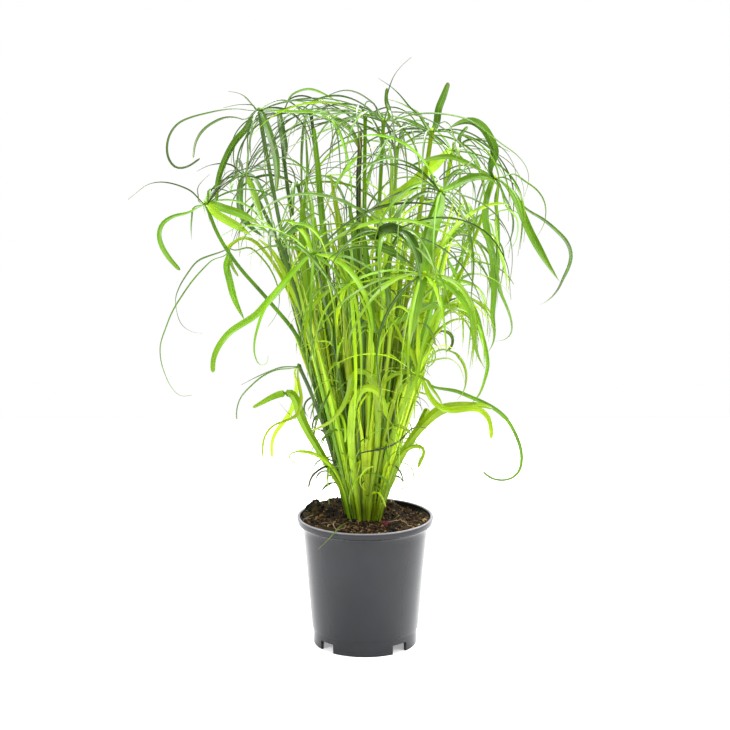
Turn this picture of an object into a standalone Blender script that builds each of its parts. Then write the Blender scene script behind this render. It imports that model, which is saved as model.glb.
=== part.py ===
"""Potted umbrella sedge in its 13 cm nursery pot.

The plant is a dense clump of bare, three-sided stems that fan out. Each stem ends in a crown of long
narrow leaves. Lengths in this file are in millimetres until a mesh is made, and +Z is up. The origin is
on the ground under the middle of the pot, and the front of the plant faces -Y.
"""

import math

import bpy
import numpy as np
from mathutils.bvhtree import BVHTree

MM = 0.001

# Pot
RIM_R = 65.0
POT_H = 125.0
LIP_INNER_R = 62.0
WALL_TOP_R = 59.8
WALL_TOP_Z = 115.0
STEP_Z = 15.0
STEP_R = 51.0
FOOT_R = 49.3
FOOT_INNER_R = 46.6
WALL = 1.6
NOTCH_H = 9.0
FLOOR_UNDER_Z = 9.5
FLOOR_TOP_Z = 11.5
POT_SIDES = 36
POT_TURN = math.radians(2.0)
NOTCH_FIRST = 3
NOTCH_SPAN = 2
NOTCH_EVERY = 9

# Soil
SOIL_SIDES = 24
SOIL_GAP = 0.4
SOIL_EDGE_R = 60.6
SOIL_EDGE_Z = 121.2
SOIL_MID_R = 45.0
SOIL_MID_Z = 121.4
MOUND_R = 31.5
MOUND_Y = 8.0
MOUND_Z = 121.0
# Heaps and a dip in the soil: x, y, height, radius.
SOIL_HEAPS = [(-49.0, 27.0, 8.0, 13.0), (-31.0, 46.0, 6.5, 13.0), (-9.0, 52.0, 5.0, 12.0),
              (22.0, 44.0, 5.5, 9.0), (45.0, 34.0, -3.2, 14.0)]

# Clump
CLUMP_Y = 12.0
CLUMP_RX = 15.0
CLUMP_RY = 21.0
STEM_SPACING = 6.1
STEM_FOOT_Z = MOUND_Z + 0.35
STEM_R_FOOT = 2.1
STEM_R_TOP = 1.6
STOUT_STEMS = {"12": 1.2, "13": 1.15, "14": 1.35, "16": 1.15, "18": 1.4, "19": 1.2, "22": 1.2}
STEM_PARTS = 5
KNOB_R = 3.5
KNOB_H = 3.0
KNOB_GAP = 0.4
SIDE_HALF = math.radians(20.0)

# Leaves
KEEL = 0.16
KEEL_MIN = 0.45
CLEAR = 0.45
LEAF_TURN = math.radians(38.0)
LEAF_RUN = 62.0
LEAF_APART = math.radians(13.0)
LEAF_LENGTHS = (105.0, 185.0)
LEAF_LIFTS = (math.radians(-5.0), math.radians(50.0))
LEAF_BENDS = (math.radians(70.0), math.radians(150.0))
LEAF_CURL = 0.35
LEAF_WIDTHS = (3.2, 6.5)
LOWEST_LEAF_Z = 140.0
REACH = 203.0

# Colours, linear
POT_COLOUR = (0.075, 0.076, 0.082)
SOIL_COLOUR = (0.045, 0.028, 0.018)
STEM_COLOUR = (0.13, 0.27, 0.04)
LEAF_COLOUR = (0.16, 0.33, 0.03)
BLADE_COLOUR = (0.30, 0.42, 0.03)
DRIED_COLOUR = (0.36, 0.38, 0.10)

# The eye that the fan of leaves was drawn from. A leaf's points are given as (x, z) on the upright
# plane through the pot's axis, and depth moves each one along its line of sight.
EYE = np.array([0.0, -1800.0, 634.0])

# Outline that the unseen leaves keep inside, on the same plane.
OUTLINE = np.array([
    (-15, 122), (-30, 160), (-37, 190), (-42, 225), (-54, 262), (-66, 300), (-75, 345), (-92, 375),
    (-118, 378), (-131, 395), (-152, 412), (-150, 430), (-137, 452), (-124, 480), (-112, 505),
    (-92, 514), (-70, 524), (-45, 524), (-15, 522), (15, 519), (35, 512), (58, 502), (84, 500),
    (108, 497), (121, 482), (132, 468), (150, 448), (160, 425), (150, 396), (140, 372), (137, 345),
    (122, 330), (119, 300), (112, 270), (100, 268), (92, 285), (72, 282), (58, 262), (53, 232),
    (44, 200), (36, 172), (27, 148), (16, 122)], float)

# Stems: name, crown on the plane (x, z), its depth, points that the stem passes, leaves in the crown,
# length of its unseen leaves against the usual.
STEMS = [
    ("01", (-97, 509), -15, [(-22, 160), (-45, 245), (-66, 340), (-80, 410), (-89, 460)], 11, 1.0),
    ("02", (-79, 506), 55, [(-15, 160), (-36, 245), (-56, 345), (-70, 425)], 9, 0.9),
    ("03", (-110, 450), 62, [(-22, 165), (-48, 255), (-66, 322), (-81, 385)], 10, 0.95),
    ("04", (-147, 423), -15, [(-46, 247), (-62, 297), (-90, 333), (-122, 371), (-138, 398)], 11, 0.8),
    ("05", (-127, 383), 25, [(-42, 250), (-58, 305), (-75, 348), (-90, 374), (-108, 391), (-121, 391)],
     8, 0.7),
    ("06", (-62, 270), -20, [(-26, 170), (-40, 215), (-53, 250)], 6, 0.5),
    ("07", (-81, 391), -70, [(-18, 175), (-40, 255), (-58, 320)], 11, 0.9),
    ("08", (-47, 377), -95, [(-9, 170), (-22, 250), (-36, 325)], 11, 1.0),
    ("09", (-50, 507), 40, [(-12, 170), (-26, 280), (-38, 380), (-43, 450)], 10, 0.95),
    ("10", (0, 504), 10, [(-3, 180), (-3, 300), (-1, 420)], 12, 1.0),
    ("11", (17, 499), -35, [(3, 180), (9, 300), (13, 420)], 11, 1.0),
    ("12", (61, 490), -5, [(9, 170), (28, 270), (42, 360), (54, 440)], 12, 1.0),
    ("13", (80, 472), 75, [(14, 180), (38, 280), (58, 370), (72, 430)], 11, 1.0),
    ("14", (70, 435), -60, [(16, 170), (36, 245), (46, 310), (51, 360), (58, 403)], 12, 1.0),
    ("15", (119, 447), 5, [(20, 165), (42, 235), (63, 300), (88, 355), (108, 410)], 13, 1.0),
    ("16", (22, 397), -85, [(4, 180), (10, 260), (16, 330)], 12, 1.05),
    ("17", (-14, 348), -70, [(-4, 170), (-8, 240), (-12, 300)], 11, 1.0),
    ("18", (71, 327), -25, [(22, 155), (30, 185), (45, 240), (52, 262), (60, 292), (66, 310)], 9, 0.8),
    ("19", (78, 341), 42, [(17, 150), (34, 215), (52, 270), (67, 312)], 9, 0.9),
    ("20", (66, 384), 92, [(16, 170), (38, 260), (55, 335)], 10, 0.95),
    ("21", (55, 358), -110, [(12, 170), (28, 240), (44, 305)], 10, 1.0),
    ("22", (50, 262), -60, [(15, 150), (30, 200), (42, 238)], 7, 0.5),
    ("23", (30, 475), 125, [(6, 180), (16, 290), (25, 400)], 10, 1.0),
    ("24", (-62, 440), 130, [(-12, 180), (-32, 290), (-50, 380)], 10, 1.0),
    ("26", (100, 402), 130, [(18, 180), (50, 280), (80, 350)], 10, 0.9),
]

# Leaves seen one by one from the front: stem, width, how far the blade turns to face the eye (from 0
# to 1), width left at its end where it was cut or broken off, depth of the tip against the crown,
# points on the plane.
LEAVES = [
    ("01", 3.0, 0.6, 0.0, -45, [(-115, 510), (-130, 509), (-145, 506), (-160, 502), (-171, 497), (-179, 487),
                           (-182, 474), (-180, 463), (-173, 456), (-165, 457), (-152, 465)]),
    ("01", 3.2, 0.6, 0.0, -85, [(-109, 500), (-118, 502), (-128, 502), (-140, 497), (-150, 489), (-156, 478),
                           (-158, 465)]),
    ("01", 1.8, 0.0, 0.0, 30, [(-102, 516), (-110, 521), (-118, 525), (-125, 526)]),
    ("01", 6.0, 0.9, 0.5, 35, [(-108, 493), (-119, 481), (-128, 465), (-134, 450), (-137, 437), (-137, 425)]),
    ("01", 4.0, 0.4, 0.0, -50, [(-82, 508), (-65, 507), (-50, 507), (-35, 505), (-18, 500)]),
    ("01", 6.5, 1.0, 0.4, -55, [(-91, 497), (-86, 482), (-82, 465), (-81, 450), (-82, 435)]),
    ("02", 3.2, 0.5, 0.0, -25, [(-75, 514), (-69, 521), (-60, 526), (-51, 528), (-41, 525), (-28, 518),
                           (-15, 511)]),
    ("02", 2.5, 0.3, 0.0, 30, [(-72, 516), (-65, 521), (-57, 522), (-47, 519), (-35, 513), (-22, 508)]),
    ("02", 6.5, 1.0, 0.0, -45, [(-78, 498), (-76, 488), (-74, 478), (-73, 462)]),
    ("03", 2.2, 0.0, 0.0, -30, [(-120, 457), (-132, 460), (-145, 458), (-155, 453)]),
    ("03", 6.5, 1.0, 0.0, -75, [(-115, 437), (-116, 423), (-113, 410), (-104, 400), (-93, 391)]),
    ("03", 6.0, 1.0, 0.0, -105, [(-105, 440), (-101, 426), (-97, 412), (-93, 398)]),
    ("03", 5.0, 1.0, 0.0, -55, [(-117, 449), (-122, 444), (-124, 434)]),
    ("04", 2.0, 0.0, 0.0, -95, [(-160, 434), (-170, 439), (-180, 442), (-190, 443), (-200, 441), (-210, 434),
                           (-219, 427)]),
    ("04", 5.5, 0.9, 0.25, -35, [(-162, 415), (-178, 411), (-188, 404), (-191, 394), (-188, 382), (-181, 371),
                           (-172, 361)]),
    ("04", 2.6, 0.3, 0.0, 25, [(-157, 421), (-160, 410), (-161, 400), (-161, 390)]),
    ("04", 7.5, 0.9, 0.0, -35, [(-135, 420), (-122, 416), (-110, 411), (-97, 403)]),
    ("04", 7.5, 0.9, 0.0, -75, [(-138, 414), (-127, 407), (-115, 400), (-105, 393)]),
    ("04", 2.2, 0.0, 0.0, 30, [(-150, 431), (-145, 436), (-137, 437), (-128, 435), (-118, 430)]),
    ("05", 6.5, 1.0, 0.1, -25, [(-128, 370), (-126, 350), (-121, 332), (-113, 314)]),
    ("05", 2.4, 0.2, 0.0, -25, [(-140, 372), (-150, 363), (-160, 352), (-170, 338), (-180, 322), (-187, 305),
                           (-192, 290), (-192, 278), (-188, 262), (-182, 249), (-174, 241),
                           (-163, 242)]),
    ("05", 1.8, 0.0, 0.0, 50, [(-143, 375), (-155, 370), (-165, 358), (-173, 345), (-177, 333), (-176, 322),
                          (-172, 310), (-163, 303), (-152, 301)]),
    ("05", 2.4, 0.2, 0.0, 25, [(-118, 379), (-108, 383), (-97, 374), (-88, 362), (-82, 348), (-80, 332),
                          (-84, 317), (-91, 308)]),
    ("06", 2.4, 0.2, 0.0, -25, [(-80, 267), (-95, 261), (-108, 250), (-117, 240), (-121, 228), (-121, 217),
                           (-117, 209), (-109, 207), (-101, 211), (-96, 218)]),
    ("06", 2.2, 0.0, 0.0, 28, [(-78, 269), (-92, 264), (-105, 258), (-117, 252)]),
    ("06", 3.2, 0.6, 0.6, -50, [(-62, 252), (-60, 236), (-65, 222), (-75, 217), (-86, 213), (-94, 204),
                           (-97, 193), (-97, 182)]),
    ("06", 4.5, 0.8, 0.7, 14, [(-64, 255), (-66, 240), (-70, 226), (-77, 216), (-84, 207), (-88, 196),
                          (-88, 182)]),
    ("08", 6.0, 0.9, 0.7, -5, [(-58, 371), (-68, 358), (-80, 343), (-92, 330), (-103, 318), (-114, 311),
                          (-126, 303), (-136, 291), (-142, 278), (-143, 264)]),
    ("08", 3.2, 0.5, 0.0, -45, [(-60, 365), (-75, 350), (-87, 336), (-96, 320), (-101, 305), (-104, 290),
                           (-103, 278), (-98, 270), (-92, 272), (-91, 280)]),
    ("08", 2.6, 0.3, 0.0, 30, [(-36, 384), (-25, 391), (-12, 396)]),
    ("09", 5.5, 0.8, 0.0, -35, [(-40, 504), (-30, 501), (-20, 497), (-12, 489), (-7, 478), (-5, 466)]),
    ("10", 2.6, 0.2, 0.0, -30, [(-18, 499), (-32, 492), (-45, 487), (-60, 480), (-73, 474)]),
    ("10", 2.4, 0.0, 0.0, 35, [(-20, 501), (-40, 497), (-57, 493), (-72, 487)]),
    ("11", 3.2, 1.0, 0.9, -6, [(18, 507), (19, 516), (20, 529)]),
    ("11", 2.2, 0.2, 0.0, 25, [(10, 512), (2, 519), (-8, 525), (-18, 527), (-30, 524), (-42, 517),
                          (-50, 511)]),
    ("11", 2.4, 0.2, 0.0, -25, [(35, 503), (55, 506), (75, 505), (95, 500), (110, 490), (125, 478),
                           (138, 469), (147, 459), (151, 448), (150, 440), (147, 430)]),
    ("12", 6.5, 1.0, 0.6, 10, [(64, 500), (67, 510), (71, 520), (76, 534)]),
    ("12", 2.4, 0.2, 0.0, -35, [(50, 503), (41, 511), (33, 521), (25, 529), (12, 538)]),
    ("12", 3.0, 0.3, 0.0, 30, [(50, 505), (40, 511), (30, 516), (20, 519)]),
    ("13", 4.0, 1.0, 0.8, 10, [(86, 483), (94, 494)]),
    ("13", 2.6, 0.2, 0.0, -25, [(90, 480), (102, 482), (113, 480), (124, 475), (133, 471)]),
    ("13", 10.5, 1.0, 0.6, -120, [(68, 462), (55, 452), (44, 441), (30, 430), (15, 417), (3, 405)]),
    ("14", 7.0, 0.7, 0.0, 20, [(80, 440), (92, 445), (104, 448), (114, 447), (122, 440)]),
    ("15", 8.0, 0.9, 0.0, -12, [(121, 458), (119, 471), (114, 484), (107, 494), (98, 499), (88, 498),
                           (76, 492)]),
    ("15", 2.6, 0.2, 0.0, 25, [(133, 451), (148, 443), (158, 436), (165, 426), (167, 415), (165, 403),
                          (159, 392)]),
    ("15", 7.5, 0.9, 0.0, -20, [(128, 441), (137, 430), (144, 416), (151, 400), (160, 383), (170, 366),
                           (181, 350)]),
    ("15", 5.0, 0.8, 0.0, 143, [(135, 432), (150, 417), (165, 408), (178, 397), (187, 387), (191, 375),
                           (189, 364), (184, 353), (179, 342), (171, 333), (163, 328)]),
    ("15", 6.5, 0.9, 0.0, -62, [(113, 432), (111, 410), (114, 393), (118, 375), (120, 355), (120, 335),
                           (119, 318), (121, 302), (120, 292), (115, 283)]),
    ("15", 2.8, 0.3, 0.0, 50, [(127, 432), (134, 418), (137, 402), (134, 389), (128, 380)]),
    ("15", 5.5, 0.6, 0.0, -45, [(105, 454), (92, 461), (77, 466), (60, 464), (45, 459), (33, 455)]),
    ("17", 4.0, 0.8, 0.0, -10, [(-22, 335), (-26, 318), (-26, 304)]),
    ("18", 6.5, 0.9, 0.0, -40, [(60, 326), (50, 323), (40, 314), (33, 303)]),
    ("18", 5.5, 0.8, 0.0, 25, [(79, 329), (87, 327), (95, 320), (99, 311)]),
    ("20", 2.8, 0.4, 0.0, 10, [(75, 388), (85, 397), (95, 406), (103, 413)]),
    ("20", 5.2, 0.9, 0.2, -75, [(75, 373), (84, 356), (89, 342), (97, 332), (104, 318), (108, 303),
                           (113, 285), (115, 270), (112, 256), (107, 242), (101, 235)]),
    ("21", 5.5, 0.8, 0.0, 15, [(67, 355), (82, 342), (93, 330), (99, 318), (101, 303), (103, 290),
                          (107, 277), (113, 267)]),
    ("22", 3.4, 0.6, 0.0, -25, [(57, 273), (62, 280), (70, 286), (79, 285), (88, 279), (94, 268), (95, 256),
                           (92, 244), (85, 236)]),
    ("22", 3.2, 0.4, 0.0, -60, [(57, 257), (62, 249), (68, 241), (72, 234), (73, 226)]),
    ("22", 3.8, 0.6, 0.0, 25, [(61, 251), (72, 248), (85, 246), (97, 241), (111, 235), (126, 226),
                          (134, 218), (142, 204), (147, 190), (148, 178), (145, 167), (137, 161),
                          (126, 160), (118, 163), (112, 168)]),
    ("22", 5.2, 0.9, 0.7, -22, [(58, 246), (64, 236), (73, 229), (85, 227), (98, 229), (109, 228),
                           (116, 221), (119, 210), (119, 200)]),
]

# Blades that rise from the clump's foot: name, width, how far they face the eye, width left at the
# end, depth at the foot and at the tip, points on the plane.
BASE_LEAVES = [
    ("left_folded", 8.5, 0.9, 0.3, 2, -30, [(-22, 150), (-33, 170), (-42, 186), (-53, 205), (-61, 222),
                                       (-65, 237), (-69, 244), (-78, 244), (-88, 240), (-97, 235),
                                       (-106, 230)]),
    ("left_low", 4.0, 0.6, 0.6, -4, -45, [(-22, 155), (-31, 172), (-42, 182), (-55, 187), (-66, 187),
                                     (-73, 184), (-71, 179), (-66, 176)]),
    ("right_broad", 11.0, 1.0, 0.2, -4, -60, [(22, 150), (34, 182), (46, 203), (58, 217), (71, 228),
                                         (84, 231), (98, 232), (112, 232), (120, 229)]),
    ("right_arched", 5.5, 0.6, 0.0, 8, -15, [(20, 160), (34, 208), (47, 255), (57, 285), (67, 302),
                                        (77, 311), (87, 315), (96, 313), (103, 305), (107, 294)]),
    ("right_hook", 4.2, 0.9, 0.8, -6, -40, [(22, 156), (30, 178), (40, 190), (48, 193), (54, 192),
                                       (56, 187), (53, 180), (50, 172)]),
    ("front_arched", 7.5, 1.0, 0.5, -10, -78, [(-9, 150), (-13, 185), (-13, 215), (-9, 238), (-1, 249),
                                          (10, 247), (17, 236), (20, 222)]),
    ("front_draped", 6.5, 1.0, 0.3, -8, -92, [(6, 150), (11, 190), (12, 225), (9, 250), (5, 262), (-3, 266),
                                         (-11, 262), (-15, 245), (-25, 225), (-35, 215), (-50, 208)]),
]
DRIED_BLADE = [(-8.0, -18.0, 121.6), (-13.0, -29.0, 126.5), (-19.0, -43.0, 129.0),
               (-25.0, -56.0, 128.4), (-31.0, -63.0, 123.0), (-37.5, -65.5, 116.5),
               (-43.5, -66.0, 110.8)]
DRIED_WIDTH = 2.0


def unit(vector):
    """The vector, or each row of vectors, at length one."""
    vector = np.asarray(vector, float)
    return vector / np.maximum(np.linalg.norm(vector, axis=-1, keepdims=True), 1e-9)


def seen(x, z, depth):
    """The point at that depth on the line of sight through (x, z) of the plane y = 0."""
    return EYE + (np.array([x, 0.0, z]) - EYE) * (depth - EYE[1]) / -EYE[1]


def on_front_plane(points):
    """Where lines of sight through points cross the plane y = 0, as rows of (x, z)."""
    points = np.atleast_2d(points)
    share = -EYE[1] / (points[:, 1] - EYE[1])
    hit = EYE + (points - EYE) * share[:, None]
    return hit[:, [0, 2]]


def inside(points, polygon):
    """Even-odd test of points against a closed polygon."""
    x, y = points[:, 0][:, None], points[:, 1][:, None]
    x0, y0 = polygon[:, 0], polygon[:, 1]
    x1, y1 = np.roll(x0, -1), np.roll(y0, -1)
    spans = (y0 > y) != (y1 > y)
    cross = x0 + (y - y0) * (x1 - x0) / np.where(y1 == y0, 1e-9, y1 - y0)
    return (spans & (x < cross)).sum(axis=1) % 2 == 1


def smooth(points, count=48):
    """Cubic Hermite curve through points, whose slopes are their central differences."""
    p = np.asarray(points, float)
    t = np.concatenate([[0.0], np.cumsum(np.linalg.norm(np.diff(p, axis=0), axis=1))])
    slope = np.gradient(p, t, axis=0)
    u = np.linspace(0.0, t[-1], count)
    i = np.clip(np.searchsorted(t, u, side="right") - 1, 0, len(t) - 2)
    h = (t[i + 1] - t[i])[:, None]
    s = (u - t[i])[:, None] / h
    near = (2 * s**3 - 3 * s**2 + 1) * p[i] + (s**3 - 2 * s**2 + s) * h * slope[i]
    far = (3 * s**2 - 2 * s**3) * p[i + 1] + (s**3 - s**2) * h * slope[i + 1]
    return near + far


def stations(path, least=3, most=9):
    """Points picked on a dense path, closer together where it bends."""
    steps = np.diff(path, axis=0)
    run = np.linalg.norm(steps, axis=1)
    heading = unit(steps)
    turn = np.arccos(np.clip((heading[1:] * heading[:-1]).sum(axis=1), -1, 1))
    cost = run / LEAF_RUN + np.concatenate([[0.0], turn]) / LEAF_TURN
    total = np.concatenate([[0.0], np.cumsum(cost)])
    count = int(np.clip(round(total[-1]), least, most))
    at = np.interp(np.linspace(0, total[-1], count + 1), total, np.arange(len(path)))
    whole = np.arange(len(path))
    picked = np.column_stack([np.interp(at, whole, path[:, k]) for k in range(3)])
    length = np.concatenate([[0.0], np.cumsum(run)])
    share = np.interp(at, whole, length) / length[-1]
    tangent = unit(np.gradient(path, axis=0))
    tangent = unit(np.column_stack([np.interp(at, whole, tangent[:, k]) for k in range(3)]))
    return picked, tangent, share


def blade_width(share, width, foot, rise, end):
    """Width along a blade: narrow at the foot, then held, the longer the broader, then a long taper.

    Foot is the share of its width that it starts with, and rise how far along it is full. End is the
    share that it still has at the end: 0 for a pointed blade.
    """
    rise = foot + (1 - foot) * np.clip(share / rise, 0, 1)
    hold = np.clip(0.2 + 0.055 * width, 0.3, 0.66)
    taper = 1 - (1 - end) * np.clip((share - hold) / (1 - hold), 0, 1) ** 1.6
    return width * rise * np.maximum(taper, 0.06)


def facing_angle(centre, tangent, side, up):
    """Angle that turns a blade flat to the eye at each point, with no half turns on the way."""
    flat = unit(np.cross(tangent, unit(centre - EYE)))
    angle = np.unwrap(np.arctan2((flat * up).sum(axis=1), (flat * side).sum(axis=1)), period=math.pi)
    return angle - math.pi * round(angle.mean() / math.pi)


def ribbon(leaf, grow=0.0, least=3, most=9):
    """Rows of left edge, right edge and keel along a leaf's path, and its tip.

    The blade's side vector is the leaf's own, made square to the path. It turns by the roll, which
    changes along the blade, and towards the eye by the leaf's face. The cross-section is a flat
    triangle with the keel below.
    """
    centre, tangent, share = stations(leaf["path"], least, most)
    side = unit(leaf["side"] - tangent * (tangent @ leaf["side"])[:, None])
    up = np.cross(tangent, side)
    ease = np.clip(share / 0.6, 0, 1)
    ease = ease * ease * (3 - 2 * ease)
    early = np.clip(share / 0.2, 0, 1)
    roll_foot, roll_tip = leaf["roll"]
    angle = np.radians(roll_foot * early + (roll_tip - roll_foot) * ease)
    if leaf["face"] > 0:
        early = np.clip(share / 0.3, 0, 1)
        angle = leaf["face"] * early * facing_angle(centre, tangent, side, up)
    across = np.cos(angle)[:, None] * side + np.sin(angle)[:, None] * up
    above = np.cross(tangent, across)
    wide = blade_width(share, leaf["width"], leaf["foot"], leaf["rise"], leaf["end"])[:, None]
    deep = KEEL * wide + KEEL_MIN
    half = wide / 2 + grow
    left = centre + across * half + above * grow
    right = centre - across * half + above * grow
    keel = centre - above * (deep + grow)
    return np.stack([left, right, keel], axis=1)[:-1], centre[-1] + tangent[-1] * grow


def split(quads):
    """Two triangles for each twisted four-cornered face."""
    return [half for a, b, c, d in quads for half in ((a, b, c), (a, c, d))]


def ribbon_faces(rows, first=0):
    """Triangles of a ribbon whose rows of three are numbered on from first, with the tip last."""
    faces = []
    for i in range(rows - 1):
        l0, r0, k0 = first + 3 * i, first + 3 * i + 1, first + 3 * i + 2
        l1, r1, k1 = l0 + 3, r0 + 3, k0 + 3
        faces += split([(r0, r1, l1, l0), (k0, k1, r1, r0), (l0, l1, k1, k0)])
    left, right, keel = first + 3 * rows - 3, first + 3 * rows - 2, first + 3 * rows - 1
    tip = first + 3 * rows
    faces += [(right, tip, left), (keel, tip, right), (left, tip, keel)]
    return faces


def closed_ribbon(rows, tip):
    """Points and faces of a ribbon closed at its foot."""
    points = np.concatenate([rows.reshape(-1, 3), [tip]])
    return points, ribbon_faces(len(rows)) + [(0, 2, 1)]


class Space:
    """Solids already placed, and the test of whether a new one keeps clear of them."""

    def __init__(self):
        self.placed = []

    def add(self, points, faces, owner, kind):
        tree = BVHTree.FromPolygons([tuple(p) for p in points], faces)
        self.placed.append((points.min(axis=0), points.max(axis=0), tree, owner, kind))

    def clear(self, points, faces, skip=lambda owner, kind: False):
        low, high = points.min(axis=0), points.max(axis=0)
        tree = None
        for other_low, other_high, other, owner, kind in self.placed:
            if (low > other_high).any() or (high < other_low).any() or skip(owner, kind):
                continue
            if tree is None:
                tree = BVHTree.FromPolygons([tuple(p) for p in points], faces)
            if tree.overlap(other):
                return False
        return True


def ring_path(centre, axis, radius, sides, turn=0.0):
    """A polygon of points around an axis."""
    axis = unit(axis)
    first = unit(np.cross(axis, (0.3, 1.0, 0.1)))
    second = np.cross(axis, first)
    angle = turn + 2 * math.pi * np.arange(sides) / sides
    return centre + radius * (np.cos(angle)[:, None] * first + np.sin(angle)[:, None] * second)


def stem_solid(path, axis, thickness, turn, grow=0.0):
    """Points and faces of a three-sided stem, cut flat at the soil and square at its top."""
    whole = np.arange(len(path))
    at = np.linspace(0, len(path) - 1, STEM_PARTS + 1)
    tangent = unit(np.gradient(path, axis=0))
    points = []
    for number, place in enumerate(at):
        centre = np.array([np.interp(place, whole, path[:, k]) for k in range(3)])
        heading = np.array([np.interp(place, whole, tangent[:, k]) for k in range(3)])
        radius = STEM_R_FOOT + (STEM_R_TOP - STEM_R_FOOT) * number / STEM_PARTS
        radius = thickness * radius + grow
        if number == 0:
            heading = (0, 0, 1)
        elif number == STEM_PARTS:
            heading = axis
        points.append(ring_path(centre, heading, radius * 1.15, 3, turn))
    faces = [(2, 1, 0)]
    for i in range(STEM_PARTS):
        for k in range(3):
            a, b = 3 * i + k, 3 * i + (k + 1) % 3
            faces.append((a, b, b + 3, a + 3))
    last = 3 * STEM_PARTS
    faces.append((last, last + 1, last + 2))
    return np.concatenate(points), faces


def spread(points, gap, rounds=400):
    """Push points of a plane apart until every two are a gap apart."""
    points = np.array(points, float)
    for _ in range(rounds):
        apart = points[:, None] - points[None]
        far = np.hypot(apart[..., 0], apart[..., 1]) + 1e-6
        push = np.clip(gap - far, 0, None) / 2
        np.fill_diagonal(push, 0)
        points += (apart / far[..., None] * push[..., None]).sum(axis=1) * 0.5
    return points


def clump_feet():
    """Where each stem and blade stands on the soil, nearest the side that it leans to."""
    wished = []
    for _, (x, z), depth, _, _, _ in STEMS:
        crown = seen(x, z, depth)
        wished.append((CLUMP_RX * np.clip(crown[0] / 120, -1, 1),
                       CLUMP_Y + CLUMP_RY * np.clip(crown[1] / 125, -1, 1)))
    for _, _, _, _, foot_depth, _, points in BASE_LEAVES:
        wished.append((0.62 * points[0][0], CLUMP_Y - 14.0 + foot_depth))
    wished.append((DRIED_BLADE[0][0], DRIED_BLADE[0][1] + 2))
    return spread(wished, STEM_SPACING)


def stem_path(foot, crown, points, shift):
    """Dense centre line of a stem: upright at its foot, through the points, to its crown."""
    rise = crown[2] - STEM_FOOT_Z
    line = [(foot[0], foot[1], STEM_FOOT_Z)]
    for x, z in points:
        share = np.clip((z - STEM_FOOT_Z) / rise, 0.02, 1)
        depth = foot[1] + (crown[1] - foot[1]) * share ** 1.25
        line.append(seen(x, z, depth + shift[0] * math.sin(math.pi * share))
                    + (shift[1] * math.sin(math.pi * share), 0, 0))
    line.append(crown)
    return smooth(line, 60)


def place_stems(feet, space, rng):
    """Centre line of each stem, clear of the others."""
    stems = {}
    for (name, (x, z), depth, points, _, _), foot in zip(STEMS, feet):
        crown = seen(x, z, depth)
        thickness = STOUT_STEMS.get(name, 1.0)
        turn = rng.uniform(0, 2 * math.pi)
        for attempt in range(200):
            wander = attempt * 0.12
            shift = rng.normal(0, 1, 2) * (wander * 2.2, wander * 0.5)
            path = stem_path(foot, crown, points, shift)
            axis = unit(path[-1] - path[-6])
            stem_top = path[-1] - axis * (KNOB_H / 2 + KNOB_GAP)
            trimmed = np.concatenate([path[:-3], [stem_top]])
            if space.clear(*stem_solid(trimmed, axis, thickness, turn, CLEAR)):
                break
        else:
            raise RuntimeError("no clear way for stem " + name)
        space.add(*stem_solid(trimmed, axis, thickness, turn), name, "stem")
        knob = ring_path(crown, axis, KNOB_R + 1.5, 6)
        solid = np.concatenate([knob - axis * 2.0, knob + axis * 2.0])
        sides = [(k, (k + 1) % 6, (k + 1) % 6 + 6, k + 6) for k in range(6)]
        sides += [tuple(range(5, -1, -1)), tuple(range(6, 12))]
        space.add(solid, sides, name, "knob")
        stems[name] = {"crown": crown, "axis": axis, "path": trimmed, "turn": turn,
                       "thickness": thickness}
    return stems


def knob_frame(axis):
    """Two directions square to a crown's axis, the first as near to +X as can be."""
    first = unit(np.array([1.0, 0.0, 0.0]) - axis * axis[0])
    return first, np.cross(axis, first)


def azimuth(stem, point):
    """Direction of a point around a crown's axis."""
    first, second = knob_frame(stem["axis"])
    way = point - stem["crown"]
    return math.atan2(way @ second, way @ first)


def outward(stem, angle):
    """Direction out of a crown at an azimuth."""
    first, second = knob_frame(stem["axis"])
    return math.cos(angle) * first + math.sin(angle) * second


def leaf_start(stem, angle, lift):
    """A leaf's first two points, on the knob's rim and a little outside it."""
    out = outward(stem, angle)
    rim = stem["crown"] + KNOB_R * out
    return rim, rim + 6.5 * unit(out + stem["axis"] * math.tan(lift))


def crown_leaf(stem, angle, path_points, lift, width, roll=(0, 0), face=0.0, end=0.0):
    """A leaf of a crown: its dense path, side vector, width, roll, face and end."""
    rim, near = leaf_start(stem, angle, lift)
    path = smooth([rim, near] + path_points)
    side = np.cross(stem["axis"], outward(stem, angle))
    return {"angle": angle, "path": path, "side": side, "width": width, "roll": roll, "face": face,
            "foot": 0.5, "rise": 0.22, "end": end}


def leaf_foot(leaf, axis, row, grow=0.0):
    """The piece between the knob's side and a leaf's second row."""
    rim = leaf["path"][0]
    half = KNOB_R * math.sin(SIDE_HALF) + grow
    tall = (KNOB_H / 2 + grow) * axis
    side = leaf["side"] * half
    points = np.array([rim + side + tall, rim - side + tall, rim - side - tall, rim + side - tall,
                       *row])
    return points, [(1, 5, 4, 0), (3, 6, 2), (2, 6, 5, 1), (0, 4, 6, 3), (0, 3, 2, 1), (4, 5, 6)]


def leaf_clear(leaf, owner, axis, space):
    """Whether a leaf keeps clear of everything, its own crown's leaves included."""
    rows, tip = ribbon(leaf, CLEAR)
    points, faces = closed_ribbon(rows, tip)
    if points[:, 2].min() < LOWEST_LEAF_Z:
        return False
    if not space.clear(points, faces, lambda who, kind: who == owner and kind != "stem"):
        return False
    if not space.clear(*leaf_foot(leaf, axis, rows[1], CLEAR),
                       lambda who, kind: who == owner and kind != "stem"):
        return False
    rows, tip = ribbon(leaf, 0.15)
    points, faces = closed_ribbon(rows[1:], tip)
    return space.clear(points, faces, lambda who, kind: who != owner or kind == "foot")


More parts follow.
